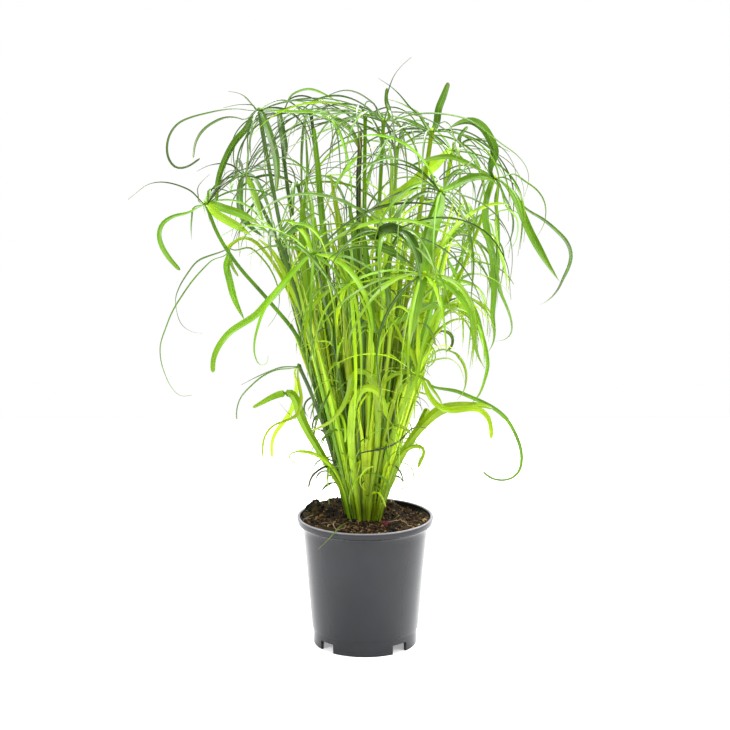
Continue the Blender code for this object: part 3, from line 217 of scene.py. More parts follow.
# Leaves seen one by one from the front: stem, width, how far the blade turns to face the eye (from 0
# to 1), width left at its end where it was cut or broken off, depth of the tip against the crown,
# points on the plane.
LEAVES = [
    ("01", 3.0, 0.6, 0.0, -45, [(-115, 510), (-130, 509), (-145, 506), (-160, 502), (-171, 497),
     (-179, 487), (-182, 474), (-180, 463), (-173, 456), (-165, 457), (-152, 465)]),
    ("01", 3.2, 0.6, 0.0, -85, [(-109, 500), (-118, 502), (-128, 502), (-140, 497), (-150, 489),
     (-156, 478), (-158, 465)]),
    ("01", 1.8, 0.0, 0.0, 30, [(-102, 516), (-110, 521), (-118, 525), (-125, 526)]),
    ("01", 6.0, 0.9, 0.5, 35, [(-108, 493), (-119, 481), (-128, 465), (-134, 450), (-137, 437),
     (-137, 425)]),
    ("01", 4.0, 0.4, 0.0, -50, [(-82, 508), (-65, 507), (-50, 507), (-35, 505), (-18, 500)]),
    ("01", 6.5, 1.0, 0.4, -55, [(-91, 497), (-86, 482), (-82, 465), (-81, 450), (-82, 435)]),
    ("02", 3.2, 0.5, 0.0, -25, [(-75, 514), (-69, 521), (-60, 526), (-51, 528), (-41, 525), (-28, 518),
     (-15, 511)]),
    ("02", 2.5, 0.3, 0.0, 30, [(-72, 516), (-65, 521), (-57, 522), (-47, 519), (-35, 513), (-22, 508)]),
    ("02", 6.5, 1.0, 0.0, -45, [(-78, 498), (-76, 488), (-74, 478), (-73, 462)]),
    ("03", 2.2, 0.0, 0.0, -30, [(-120, 457), (-132, 460), (-145, 458), (-155, 453)]),
    ("03", 6.5, 1.0, 0.0, -75, [(-115, 437), (-116, 423), (-113, 410), (-104, 400), (-93, 391)]),
    ("03", 6.0, 1.0, 0.0, -105, [(-105, 440), (-101, 426), (-97, 412), (-93, 398)]),
    ("03", 5.0, 1.0, 0.0, -55, [(-117, 449), (-122, 444), (-124, 434)]),
    ("04", 2.0, 0.0, 0.0, -95, [(-160, 434), (-170, 439), (-180, 442), (-190, 443), (-200, 441),
     (-210, 434), (-219, 427)]),
    ("04", 5.5, 0.9, 0.25, -35, [(-162, 415), (-178, 411), (-188, 404), (-191, 394), (-188, 382),
     (-181, 371), (-172, 361)]),
    ("04", 2.6, 0.3, 0.0, 25, [(-157, 421), (-160, 410), (-161, 400), (-161, 390)]),
    ("04", 7.5, 0.9, 0.0, -35, [(-135, 420), (-122, 416), (-110, 411), (-97, 403)]),
    ("04", 7.5, 0.9, 0.0, -75, [(-138, 414), (-127, 407), (-115, 400), (-105, 393)]),
    ("04", 2.2, 0.0, 0.0, 30, [(-150, 431), (-145, 436), (-137, 437), (-128, 435), (-118, 430)]),
    ("05", 6.5, 1.0, 0.1, -25, [(-128, 370), (-126, 350), (-121, 332), (-113, 314)]),
    ("05", 2.4, 0.2, 0.0, -25, [(-140, 372), (-150, 363), (-160, 352), (-170, 338), (-180, 322),
     (-187, 305), (-192, 290), (-192, 278), (-188, 262), (-182, 249), (-174, 241), (-163, 242)]),
    ("05", 1.8, 0.0, 0.0, 50, [(-143, 375), (-155, 370), (-165, 358), (-173, 345), (-177, 333),
     (-176, 322), (-172, 310), (-163, 303), (-152, 301)]),
    ("05", 2.4, 0.2, 0.0, 25, [(-118, 379), (-108, 383), (-97, 374), (-88, 362), (-82, 348), (-80, 332),
     (-84, 317), (-91, 308)]),
    ("06", 2.4, 0.2, 0.0, -25, [(-80, 267), (-95, 261), (-108, 250), (-117, 240), (-121, 228),
     (-121, 217), (-117, 209), (-109, 207), (-101, 211), (-96, 218)]),
    ("06", 2.2, 0.0, 0.0, 28, [(-78, 269), (-92, 264), (-105, 258), (-117, 252)]),
    ("06", 3.2, 0.6, 0.6, -50, [(-62, 252), (-60, 236), (-65, 222), (-75, 217), (-86, 213), (-94, 204),
     (-97, 193), (-97, 182)]),
    ("06", 4.5, 0.8, 0.7, 14, [(-64, 255), (-66, 240), (-70, 226), (-77, 216), (-84, 207), (-88, 196),
     (-88, 182)]),
    ("08", 6.0, 0.9, 0.7, -5, [(-58, 371), (-68, 358), (-80, 343), (-92, 330), (-103, 318), (-114, 311),
     (-126, 303), (-136, 291), (-142, 278), (-143, 264)]),
    ("08", 3.2, 0.5, 0.0, -45, [(-60, 365), (-75, 350), (-87, 336), (-96, 320), (-101, 305), (-104, 290),
     (-103, 278), (-98, 270), (-92, 272), (-91, 280)]),
    ("08", 2.6, 0.3, 0.0, 30, [(-36, 384), (-25, 391), (-12, 396)]),
    ("09", 5.5, 0.8, 0.0, -35, [(-40, 504), (-30, 501), (-20, 497), (-12, 489), (-7, 478), (-5, 466)]),
    ("10", 2.6, 0.2, 0.0, -30, [(-18, 499), (-32, 492), (-45, 487), (-60, 480), (-73, 474)]),
    ("10", 2.4, 0.0, 0.0, 35, [(-20, 501), (-40, 497), (-57, 493), (-72, 487)]),
    ("11", 3.2, 1.0, 0.9, -6, [(18, 507), (19, 516), (20, 529)]),
    ("11", 2.2, 0.2, 0.0, 25, [(10, 512), (2, 519), (-8, 525), (-18, 527), (-30, 524), (-42, 517),
     (-50, 511)]),
    ("11", 2.4, 0.2, 0.0, -25, [(35, 503), (55, 506), (75, 505), (95, 500), (110, 490), (125, 478),
     (138, 469), (147, 459), (151, 448), (150, 440), (147, 430)]),
    ("12", 6.5, 1.0, 0.6, 10, [(64, 500), (67, 510), (71, 520), (76, 534)]),
    ("12", 2.4, 0.2, 0.0, -35, [(50, 503), (41, 511), (33, 521), (25, 529), (12, 538)]),
    ("12", 3.0, 0.3, 0.0, 30, [(50, 505), (40, 511), (30, 516), (20, 519)]),
    ("13", 4.0, 1.0, 0.8, 10, [(86, 483), (94, 494)]),
    ("13", 2.6, 0.2, 0.0, -25, [(90, 480), (102, 482), (113, 480), (124, 475), (133, 471)]),
    ("13", 10.5, 1.0, 0.6, -120, [(68, 462), (55, 452), (44, 441), (30, 430), (15, 417), (3, 405)]),
    ("14", 7.0, 0.7, 0.0, 20, [(80, 440), (92, 445), (104, 448), (114, 447), (122, 440)]),
    ("15", 8.0, 0.9, 0.0, -12, [(121, 458), (119, 471), (114, 484), (107, 494), (98, 499), (88, 498),
     (76, 492)]),
    ("15", 2.6, 0.2, 0.0, 25, [(133, 451), (148, 443), (158, 436), (165, 426), (167, 415), (165, 403),
     (159, 392)]),
    ("15", 7.5, 0.9, 0.0, -20, [(128, 441), (137, 430), (144, 416), (151, 400), (160, 383), (170, 366),
     (181, 350)]),
    ("15", 5.0, 0.8, 0.0, 143, [(135, 432), (150, 417), (165, 408), (178, 397), (187, 387), (191, 375),
     (189, 364), (184, 353), (179, 342), (171, 333), (163, 328)]),
    ("15", 6.5, 0.9, 0.0, -62, [(113, 432), (111, 410), (114, 393), (118, 375), (120, 355), (120, 335),
     (119, 318), (121, 302), (120, 292), (115, 283)]),
    ("15", 2.8, 0.3, 0.0, 50, [(127, 432), (134, 418), (137, 402), (134, 389), (128, 380)]),
    ("15", 5.5, 0.6, 0.0, -45, [(105, 454), (92, 461), (77, 466), (60, 464), (45, 459), (33, 455)]),
    ("17", 4.0, 0.8, 0.0, -10, [(-22, 335), (-26, 318), (-26, 304)]),
    ("18", 6.5, 0.9, 0.0, -40, [(60, 326), (50, 323), (40, 314), (33, 303)]),
    ("18", 5.5, 0.8, 0.0, 25, [(79, 329), (87, 327), (95, 320), (99, 311)]),
    ("20", 2.8, 0.4, 0.0, 10, [(75, 388), (85, 397), (95, 406), (103, 413)]),
    ("20", 5.2, 0.9, 0.2, -75, [(75, 373), (84, 356), (89, 342), (97, 332), (104, 318), (108, 303),
     (113, 285), (115, 270), (112, 256), (107, 242), (101, 235)]),
    ("21", 5.5, 0.8, 0.0, 15, [(67, 355), (82, 342), (93, 330), (99, 318), (101, 303), (103, 290),
     (107, 277), (113, 267)]),
    ("22", 3.4, 0.6, 0.0, -25, [(57, 273), (62, 280), (70, 286), (79, 285), (88, 279), (94, 268),
     (95, 256), (92, 244), (85, 236)]),
    ("22", 3.2, 0.4, 0.0, -60, [(57, 257), (62, 249), (68, 241), (72, 234), (73, 226)]),
    ("22", 3.8, 0.6, 0.0, 25, [(61, 251), (72, 248), (85, 246), (97, 241), (111, 235), (126, 226),
     (134, 218), (142, 204), (147, 190), (148, 178), (145, 167), (137, 161), (126, 160), (118, 163),
     (112, 168)]),
    ("22", 5.2, 0.9, 0.7, -22, [(58, 246), (64, 236), (73, 229), (85, 227), (98, 229), (109, 228),
     (116, 221), (119, 210), (119, 200)]),
]

# Blades that rise from the clump's foot: name, width, how far they face the eye, width left at the
# end, depth at the foot and at the tip, points on the plane.
BASE_LEAVES = [
    ("left_folded", 8.5, 0.9, 0.3, 2, -30, [(-22, 150), (-33, 170), (-42, 186), (-53, 205), (-61, 222),
     (-65, 237), (-69, 244), (-78, 244), (-88, 240), (-97, 235), (-106, 230)]),
    ("left_low", 4.0, 0.6, 0.6, -4, -45, [(-22, 155), (-31, 172), (-42, 182), (-55, 187), (-66, 187),
     (-73, 184), (-71, 179), (-66, 176)]),
    ("right_broad", 11.0, 1.0, 0.2, -4, -60, [(22, 150), (34, 182), (46, 203), (58, 217), (71, 228),
     (84, 231), (98, 232), (112, 232), (120, 229)]),
    ("right_arched", 5.5, 0.6, 0.0, 8, -15, [(20, 160), (34, 208), (47, 255), (57, 285), (67, 302),
     (77, 311), (87, 315), (96, 313), (103, 305), (107, 294)]),
    ("right_hook", 4.2, 0.9, 0.8, -6, -40, [(22, 156), (30, 178), (40, 190), (48, 193), (54, 192),
     (56, 187), (53, 180), (50, 172)]),
    ("front_arched", 7.5, 1.0, 0.5, -10, -78, [(-9, 150), (-13, 185), (-13, 215), (-9, 238), (-1, 249),
     (10, 247), (17, 236), (20, 222)]),
    ("front_draped", 6.5, 1.0, 0.3, -8, -92, [(6, 150), (11, 190), (12, 225), (9, 250), (5, 262),
     (-3, 266), (-11, 262), (-15, 245), (-25, 225), (-35, 215), (-50, 208)]),
]
DRIED_BLADE = [
    (-8.0, -18.0, 121.6), (-13.0, -29.0, 126.5), (-19.0, -43.0, 129.0), (-25.0, -56.0, 128.4),
    (-31.0, -63.0, 123.0), (-37.5, -65.5, 116.5), (-43.5, -66.0, 110.8)]
DRIED_WIDTH = 2.0


def unit(vector):
    """The vector, or each row of vectors, at length one."""
    vector = np.asarray(vector, float)
    return vector / np.maximum(np.linalg.norm(vector, axis=-1, keepdims=True), 1e-9)


def seen(x, z, depth):
    """The point at that depth on the line of sight through (x, z) of the plane y = 0."""
    return EYE + (np.array([x, 0.0, z]) - EYE) * (depth - EYE[1]) / -EYE[1]


def on_front_plane(points):
    """Where lines of sight through points cross the plane y = 0, as rows of (x, z)."""
    points = np.atleast_2d(points)
    share = -EYE[1] / (points[:, 1] - EYE[1])
    hit = EYE + (points - EYE) * share[:, None]
    return hit[:, [0, 2]]


def inside(points, polygon):
    """Even-odd test of points against a closed polygon."""
    x, y = points[:, 0][:, None], points[:, 1][:, None]
    x0, y0 = polygon[:, 0], polygon[:, 1]
    x1, y1 = np.roll(x0, -1), np.roll(y0, -1)
    spans = (y0 > y) != (y1 > y)
    cross = x0 + (y - y0) * (x1 - x0) / np.where(y1 == y0, 1e-9, y1 - y0)
    return (spans & (x < cross)).sum(axis=1) % 2 == 1


def run_along(path):
    """How far along a path each of its points is."""
    return np.concatenate([[0.0], np.cumsum(np.linalg.norm(np.diff(path, axis=0), axis=1))])


def read_at(places, known, points):
    """Points between those of a path, at places on the scale that its own points are known on."""
    return np.column_stack([np.interp(places, known, points[:, k]) for k in range(3)])


def smoothstep(share):
    """A rise from 0 to 1 that starts and ends level: three squares less two cubes."""
    return share * share * (3 - 2 * share)


def smooth(points, count=48):
    """Cubic Hermite curve through points, whose slopes are their central differences."""
    p = np.asarray(points, float)
    t = run_along(p)
    slope = np.gradient(p, t, axis=0)
    u = np.linspace(0.0, t[-1], count)
    i = np.clip(np.searchsorted(t, u, side="right") - 1, 0, len(t) - 2)
    h = (t[i + 1] - t[i])[:, None]
    s = (u - t[i])[:, None] / h
    near = (2 * s**3 - 3 * s**2 + 1) * p[i] + (s**3 - 2 * s**2 + s) * h * slope[i]
    far = (3 * s**2 - 2 * s**3) * p[i + 1] + (s**3 - s**2) * h * slope[i + 1]
    return near + far


def stations(path, least, most):
    """Points picked on a dense path, closer together where it bends, their tangents and shares."""
    steps = np.diff(path, axis=0)
    heading = unit(steps)
    turn = np.arccos(np.clip((heading[1:] * heading[:-1]).sum(axis=1), -1, 1))
    cost = np.linalg.norm(steps, axis=1) / LEAF_RUN + np.concatenate([[0.0], turn]) / LEAF_TURN
    total = np.concatenate([[0.0], np.cumsum(cost)])
    count = int(np.clip(round(total[-1]), least, most))
    whole = np.arange(len(path))
    at = np.interp(np.linspace(0, total[-1], count + 1), total, whole)
    run = run_along(path)
    tangent = unit(read_at(at, whole, unit(np.gradient(path, axis=0))))
    return read_at(at, whole, path), tangent, np.interp(at, whole, run) / run[-1]


def blade_width(share, leaf):
    """Width along a blade: narrow at the foot, then held, the longer the broader, then a long taper.

    The leaf's foot is the share of its width that it starts with, and rise how far along it is full.
    Its end is the share that it still has at the end: 0 for a pointed blade.
    """
    rise = leaf["foot"] + (1 - leaf["foot"]) * np.clip(share / leaf["rise"], 0, 1)
    hold = np.clip(0.2 + 0.055 * leaf["width"], 0.3, 0.66)
    taper = 1 - (1 - leaf["end"]) * np.clip((share - hold) / (1 - hold), 0, 1) ** 1.6
    return leaf["width"] * rise * np.maximum(taper, SLIMMEST)


def facing_angle(centre, tangent, side, up):
    """Angle that turns a blade flat to the eye at each point, with no half turns on the way."""
    flat = unit(np.cross(tangent, unit(centre - EYE)))
    angle = np.unwrap(np.arctan2((flat * up).sum(axis=1), (flat * side).sum(axis=1)), period=math.pi)
    return angle - math.pi * round(angle.mean() / math.pi)


def blade_turn(leaf, line, tangent, share):
    """How a blade lies along its line: its side and up, and the angle that it is turned by.

    The side is the leaf's own, made square to the line. The angle is the leaf's roll, which changes
    from its foot to its tip, or it turns the blade towards the eye by the leaf's face.
    """
    side = unit(leaf["side"] - tangent * (tangent @ leaf["side"])[:, None])
    up = np.cross(tangent, side)
    if leaf["face"] > 0:
        early = np.clip(share / FACED_AT, 0, 1)
        return side, up, leaf["face"] * early * facing_angle(line, tangent, side, up)
    roll_foot, roll_tip = leaf["roll"]
    early = np.clip(share / FOOT_ROLLED_AT, 0, 1)
    ease = smoothstep(np.clip(share / TIP_ROLLED_AT, 0, 1))
    return side, up, np.radians(roll_foot * early + (roll_tip - roll_foot) * ease)


def ribbon(leaf, grow=0.0, least=3, most=9):
    """Rows of left edge, right edge and keel along a leaf's path, and its tip.

    The cross-section is a flat triangle with the keel below.
    """
    centre, tangent, share = stations(leaf["path"], least, most)
    side, up, angle = blade_turn(leaf, centre, tangent, share)
    across = np.cos(angle)[:, None] * side + np.sin(angle)[:, None] * up
    above = np.cross(tangent, across)
    wide = blade_width(share, leaf)[:, None]
    deep = KEEL * wide + KEEL_MIN
    half = wide / 2 + grow
    left = centre + across * half + above * grow
    right = centre - across * half + above * grow
    keel = centre - above * (deep + grow)
    return np.stack([left, right, keel], axis=1)[:-1], centre[-1] + tangent[-1] * grow


def ribbon_faces(rows):
    """Triangles of a ribbon of rows of left edge, right edge and keel, with its tip last."""
    faces = []
    for l0 in range(0, 3 * rows - 3, 3):
        r0, k0, l1, r1, k1 = range(l0 + 1, l0 + 6)
        for a, b, c, d in ((r0, r1, l1, l0), (k0, k1, r1, r0), (l0, l1, k1, k0)):
            faces += [(a, b, c), (a, c, d)]
    left, right, keel, tip = range(3 * rows - 3, 3 * rows + 1)
    return faces + [(right, tip, left), (keel, tip, right), (left, tip, keel)]


def closed_ribbon(rows, tip):
    """Points and faces of a ribbon closed at its foot."""
    points = np.concatenate([rows.reshape(-1, 3), [tip]])
    return points, ribbon_faces(len(rows)) + [(0, 2, 1)]


class Space:
    """Solids already placed, and the test of whether a new one keeps clear of them."""

    def __init__(self):
        self.placed = []

    def add(self, points, faces, owner, kind):
        """Note a solid by its owner and kind."""
        tree = BVHTree.FromPolygons([tuple(p) for p in points], faces)
        self.placed.append((points.min(axis=0), points.max(axis=0), tree, owner, kind))

    def clear(self, points, faces, skip=lambda owner, kind: False):
        """Whether a solid crosses none of those placed, apart from the ones to skip."""
        low, high = points.min(axis=0), points.max(axis=0)
        tree = None
        for other_low, other_high, other, owner, kind in self.placed:
            if (low > other_high).any() or (high < other_low).any() or skip(owner, kind):
                continue
            if tree is None:
                tree = BVHTree.FromPolygons([tuple(p) for p in points], faces)
            if tree.overlap(other):
                return False
        return True


def ring_path(centre, axis, radius, sides, turn=0.0):
    """A polygon of points around an axis."""
    axis = unit(axis)
    first = unit(np.cross(axis, ASKEW))
    second = np.cross(axis, first)
    angle = turn + 2 * math.pi * np.arange(sides) / sides
    return centre + radius * (np.cos(angle)[:, None] * first + np.sin(angle)[:, None] * second)


def stem_solid(path, axis, thickness, turn, grow=0.0):
    """Points and faces of a three-sided stem, cut flat at the soil and square at its top."""
    whole = np.arange(len(path))
    at = np.linspace(0, len(path) - 1, STEM_PARTS + 1)
    centres = read_at(at, whole, path)
    headings = read_at(at, whole, unit(np.gradient(path, axis=0)))
    headings[0], headings[-1] = (0, 0, 1), axis
    parts = np.arange(STEM_PARTS + 1)
    radii = thickness * (STEM_R_FOOT + (STEM_R_TOP - STEM_R_FOOT) * parts / STEM_PARTS) + grow
    points = [ring_path(centre, heading, radius * CORNER_REACH, 3, turn)
              for centre, heading, radius in zip(centres, headings, radii)]
    faces = [(2, 1, 0)]
    for i in range(STEM_PARTS):
        for k in range(3):
            a, b = 3 * i + k, 3 * i + (k + 1) % 3
            faces.append((a, b, b + 3, a + 3))
    last = 3 * STEM_PARTS
    return np.concatenate(points), faces + [(last, last + 1, last + 2)]


def spread(points, gap):
    """Push points of a plane apart until every two are a gap apart."""
    points = np.array(points, float)
    for _ in range(SPREAD_ROUNDS):
        apart = points[:, None] - points[None]
        far = np.hypot(apart[..., 0], apart[..., 1]) + 1e-6
        push = np.clip(gap - far, 0, None) / 2
        np.fill_diagonal(push, 0)
        points += (apart / far[..., None] * push[..., None]).sum(axis=1) * 0.5
    return points


def clump_feet():
    """Where each stem and blade stands on the soil, nearest the side that it leans to."""
    wished = []
    for _, (x, z), depth, *_ in STEMS:
        crown = seen(x, z, depth)
        wished.append((CLUMP_RX * np.clip(crown[0] / LEAN_X, -1, 1),
                       CLUMP_Y + CLUMP_RY * np.clip(crown[1] / LEAN_Y, -1, 1)))
    for _, _, _, _, foot_depth, _, points in BASE_LEAVES:
        wished.append((BLADE_FOOT_X * points[0][0], CLUMP_Y - BLADES_BEFORE + foot_depth))
    wished.append((DRIED_BLADE[0][0], DRIED_BLADE[0][1] + 2))
    return spread(wished, STEM_SPACING)


def stem_path(foot, crown, points, shift):
    """Dense centre line of a stem: upright at its foot, through the points, to its crown."""
    rise = crown[2] - STEM_FOOT_Z
    line = [(foot[0], foot[1], STEM_FOOT_Z)]
    for x, z in points:
        share = np.clip((z - STEM_FOOT_Z) / rise, 0.02, 1)
        depth = foot[1] + (crown[1] - foot[1]) * share ** 1.25
        line.append(seen(x, z, depth + shift[0] * math.sin(math.pi * share))
                    + (shift[1] * math.sin(math.pi * share), 0, 0))
    line.append(crown)
    return smooth(line, 60)


def place_stems(feet, space, rng):
    """Centre line of each stem, clear of the others."""
    stems = {}
    for (name, (x, z), depth, points, *_), foot in zip(STEMS, feet):
        crown = seen(x, z, depth)
        thickness = STOUT_STEMS.get(name, 1.0)
        turn = rng.uniform(0, 2 * math.pi)
        for attempt in range(STEM_TRIES):
            wander = attempt * 0.12
            shift = rng.normal(0, 1, 2) * (wander * 2.2, wander * 0.5)
            path = stem_path(foot, crown, points, shift)
            axis = unit(path[-1] - path[-6])
            stem_top = path[-1] - axis * (KNOB_H / 2 + KNOB_GAP)
            trimmed = np.concatenate([path[:-3], [stem_top]])
            if space.clear(*stem_solid(trimmed, axis, thickness, turn, CLEAR)):
                break
        else:
            raise RuntimeError("no clear way for stem " + name)
        space.add(*stem_solid(trimmed, axis, thickness, turn), name, "stem")
        knob = ring_path(crown, axis, KNOB_R + 1.5, 6)
        solid = np.concatenate([knob - axis * 2.0, knob + axis * 2.0])
        sides = [(k, (k + 1) % 6, (k + 1) % 6 + 6, k + 6) for k in range(6)]
        sides += [tuple(range(5, -1, -1)), tuple(range(6, 12))]
        space.add(solid, sides, name, "knob")
        stems[name] = {"crown": crown, "axis": axis, "path": trimmed, "turn": turn,
                       "thickness": thickness}
    return stems


def knob_frame(axis):
    """Two directions square to a crown's axis, the first as near to +X as can be."""
    first = unit(np.array([1.0, 0.0, 0.0]) - axis * axis[0])
    return first, np.cross(axis, first)


def azimuth(stem, point):
    """Direction of a point around a crown's axis."""
    first, second = knob_frame(stem["axis"])
    way = point - stem["crown"]
    return math.atan2(way @ second, way @ first)


def outward(stem, angle):
    """Direction out of a crown at an azimuth."""
    first, second = knob_frame(stem["axis"])
    return math.cos(angle) * first + math.sin(angle) * second


def leaf_start(stem, angle, lift):
    """A leaf's first two points, on the knob's rim and a little outside it."""
    out = outward(stem, angle)
    rim = stem["crown"] + KNOB_R * out
    return rim, rim + FIRST_STEP * unit(out + stem["axis"] * math.tan(lift))


def crown_leaf(stem, angle, path_points, lift, width, roll=(0, 0), face=0.0, end=0.0):
    """A leaf of a crown: its dense path, side vector, width, roll, face and end."""
    rim, near = leaf_start(stem, angle, lift)
    path = smooth([rim, near] + path_points)
    side = np.cross(stem["axis"], outward(stem, angle))
    return {"angle": angle, "path": path, "side": side, "width": width, "roll": roll, "face": face,
            "foot": 0.5, "rise": 0.22, "end": end}


def drawn_leaf(stem, way, width, face, end):
    """A leaf of a crown through drawn points, which leaves its knob towards the first of them."""
    lift = math.asin(np.clip(unit(way[0] - stem["crown"]) @ stem["axis"], -0.8, 0.8))
    return crown_leaf(stem, azimuth(stem, way[0]), way, lift, width, face=face, end=end)


def kept_in(path):
    """Whether a leaf's path keeps inside the outline, and the plant's reach in depth."""
    return inside(on_front_plane(path[::4]), OUTLINE).all() and np.abs(path[:, 1]).max() <= REACH


def leaf_foot(leaf, axis, row, grow=0.0):
    """The piece between the knob's side and a leaf's second row."""
    rim = leaf["path"][0]
    half = KNOB_R * math.sin(SIDE_HALF) + grow
    tall = (KNOB_H / 2 + grow) * axis
    side = leaf["side"] * half
    points = np.array([rim + side + tall, rim - side + tall, rim - side - tall, rim + side - tall,
                       *row])
    return points, [(1, 5, 4, 0), (3, 6, 2), (2, 6, 5, 1), (0, 4, 6, 3), (0, 3, 2, 1), (4, 5, 6)]


def leaf_clear(leaf, owner, axis, space):
    """Whether a leaf keeps clear of everything, its own crown's leaves included."""
    def own(who, kind):
        return who == owner and kind != "stem"

    rows, tip = ribbon(leaf, CLEAR)
    points, faces = closed_ribbon(rows, tip)
    if points[:, 2].min() < LOWEST_LEAF_Z or not space.clear(points, faces, own):
        return False
    if not space.clear(*leaf_foot(leaf, axis, rows[1], CLEAR), own):
        return False
    rows, tip = ribbon(leaf, CLEAR_IN_CROWN)
    points, faces = closed_ribbon(rows[1:], tip)
    return space.clear(points, faces, lambda who, kind: who != owner or kind == "foot")


def add_leaf(leaf, owner, axis, space):
    """Note a leaf in space: its foot beside the knob, and the rest of it."""
    rows, tip = ribbon(leaf)
    space.add(*closed_ribbon(rows[1:], tip), owner, "leaf")
    space.add(*leaf_foot(leaf, axis, rows[1]), owner, "foot")


def gap_to(angle, others):
    """Smallest angle between a direction and the others."""
    return min((abs((angle - other + math.pi) % (2 * math.pi) - math.pi) for other in others),
               default=math.pi)


def place_drawn_leaves(stems, crowns, space):
    """The leaves that the photograph shows one by one."""
    for name, width, face, end, reach, points in LEAVES:
        stem = stems[name]
        along = run_along(np.array([on_front_plane(stem["crown"])[0]] + points, float))
        for shift in DEPTH_SHIFTS:
            way = []
            for (x, z), part in zip(points, (along / along[-1])[1:]):
                point = seen(x, z, stem["crown"][1] + (reach + shift) * part)
                if np.linalg.norm(point - stem["crown"]) > KNOB_R + FIRST_STEP + 2.0:
                    way.append(point)
            if gap_to(azimuth(stem, way[0]), [leaf["angle"] for leaf in crowns[name]]) < LEAF_APART:
                continue
            leaf = drawn_leaf(stem, way, width, face, end)
            if leaf_clear(leaf, name, stem["axis"], space):
                add_leaf(leaf, name, stem["axis"], space)
                crowns[name].append(leaf)
                break


def arched_way(stem, angle, length, lift, bend, curl):
    """Points of a leaf that leaves its crown at a lift and bends down more and more.

    The pitch falls with the 1.2th power of the length run, and the heading turns with its square.
    """
    out = outward(stem, angle)
    pitch0 = math.asin(np.clip(out[2], -1, 1)) + lift
    heading0 = math.atan2(out[1], out[0])
    share = (np.arange(ARCH_STEPS) + 0.5) / ARCH_STEPS
    pitch = np.maximum(pitch0 - bend * share ** 1.2, STEEPEST)
    heading = heading0 + curl * share ** 2
    step = length / ARCH_STEPS * np.column_stack([np.cos(pitch) * np.cos(heading),
                                                  np.cos(pitch) * np.sin(heading), np.sin(pitch)])
    start = stem["crown"] + KNOB_R * out
    way = start + np.cumsum(step, axis=0)
    way = way[np.linalg.norm(way - stem["crown"], axis=1) > KNOB_R + 9]
    return list(way[np.linspace(0, len(way) - 1, 6).astype(int)])


def place_unseen_leaves(stems, crowns, space, rng):
    """The crowns' other leaves, in turns, kept inside the outline."""
    for _ in range(LEAF_ROUNDS):
        for (name, _, _, _, wanted, scale), stem in zip(STEMS, stems.values()):
            if len(crowns[name]) >= wanted:
                continue
            taken = sorted(leaf["angle"] % (2 * math.pi) for leaf in crowns[name])
            if taken:
                gaps = np.diff(taken + [taken[0] + 2 * math.pi])
                widest = int(np.argmax(gaps))
                middle, half = taken[widest] + gaps[widest] / 2, gaps[widest] / 2
            else:
                middle, half = rng.uniform(0, 2 * math.pi), 0.2
            for attempt in range(LEAF_TRIES):
                loose = max(half - LEAF_APART, 0) * (0.3 + 0.7 * (attempt > LOOSE_AFTER))
                angle = middle + rng.uniform(-1, 1) * loose
                length = rng.uniform(*LEAF_LENGTHS) * scale * (1 - SHORTER * attempt)
                lift = rng.uniform(*LEAF_LIFTS)
                bend = rng.uniform(*LEAF_BENDS)
                curl = rng.normal(0, LEAF_CURL)
                width = rng.uniform(*LEAF_WIDTHS)
                roll = tuple(rng.normal(0, LEAF_ROLLS))
                way = arched_way(stem, angle, length, lift, bend, curl)
                leaf = crown_leaf(stem, angle, way, lift, width, roll)
                crowded = gap_to(angle, [other["angle"] for other in crowns[name]]) < LEAF_APART
                if kept_in(leaf["path"]) and not crowded and leaf_clear(leaf, name, stem["axis"], space):
                    add_leaf(leaf, name, stem["axis"], space)
                    crowns[name].append(leaf)
                    break


def base_leaf_path(foot, points, depth_tip):
    """Dense path of a blade from the soil, through its points."""
    along = run_along(np.array(points, float))
    share = (along + 30) / (along[-1] + 30)
    depth = foot[1] + (depth_tip - foot[1]) * share ** 1.2
    start = np.array([foot[0], foot[1], STEM_FOOT_Z])
    return smooth([start] + [seen(x, z, d) for (x, z), d in zip(points, depth)], 70)


def base_leaf(path, width, face, end):
    """A blade from the soil, with what a crown's leaf has."""
    side = unit(np.array([1.0, 0.25, 0.0]))
    return {"path": path, "side": side, "width": width, "roll": (0, 0), "face": face, "foot": 0.4,
            "rise": 0.6, "end": end}


def base_leaf_solid(leaf, grow=0.0):
    """A blade from the soil, cut level where it leaves it."""
    rows, tip = ribbon(leaf, grow, least=7, most=12)
    rows[0, :, 2] = STEM_FOOT_Z - grow
    return closed_ribbon(rows, tip)


def place_base_leaves(feet, space, rng):
    """The blades from the clump's foot by name, clear of the stems."""
    blades = {}
    for (name, width, face, end, _, depth_tip, points), foot in zip(BASE_LEAVES, feet[len(STEMS):]):
        for attempt in range(BLADE_TRIES):
            shift = rng.normal(0, 1, 2) * attempt * 0.15
            near = foot + (shift[0] * 0.3, shift[1] * 0.5)
            path = base_leaf_path(near, points, depth_tip + shift[1] * 3)
            leaf = base_leaf(path, width, face, end)
            if space.clear(*base_leaf_solid(leaf, CLEAR)):
                break
        else:
            raise RuntimeError("no clear way for blade " + name)
        blades[name] = leaf
        space.add(*base_leaf_solid(leaf), name, "blade")
    blades["dried"] = base_leaf(smooth(DRIED_BLADE, 50), DRIED_WIDTH, 0.0, 0.0)
    space.add(*base_leaf_solid(blades["dried"]), "dried", "blade")
    return blades


def grow_plant(space):
    """Every stem, blade and crown leaf in its place: the stems, the blades, and the leaves by crown."""
    rng = np.random.default_rng(24)
    feet = clump_feet()
    stems = place_stems(feet, space, rng)
    blades = place_base_leaves(feet, space, rng)
    crowns = {name: [] for name in stems}
    place_drawn_leaves(stems, crowns, space)
    place_unseen_leaves(stems, crowns, space, rng)
    return stems, blades, crowns


# Leaves, blades and stems at full fineness

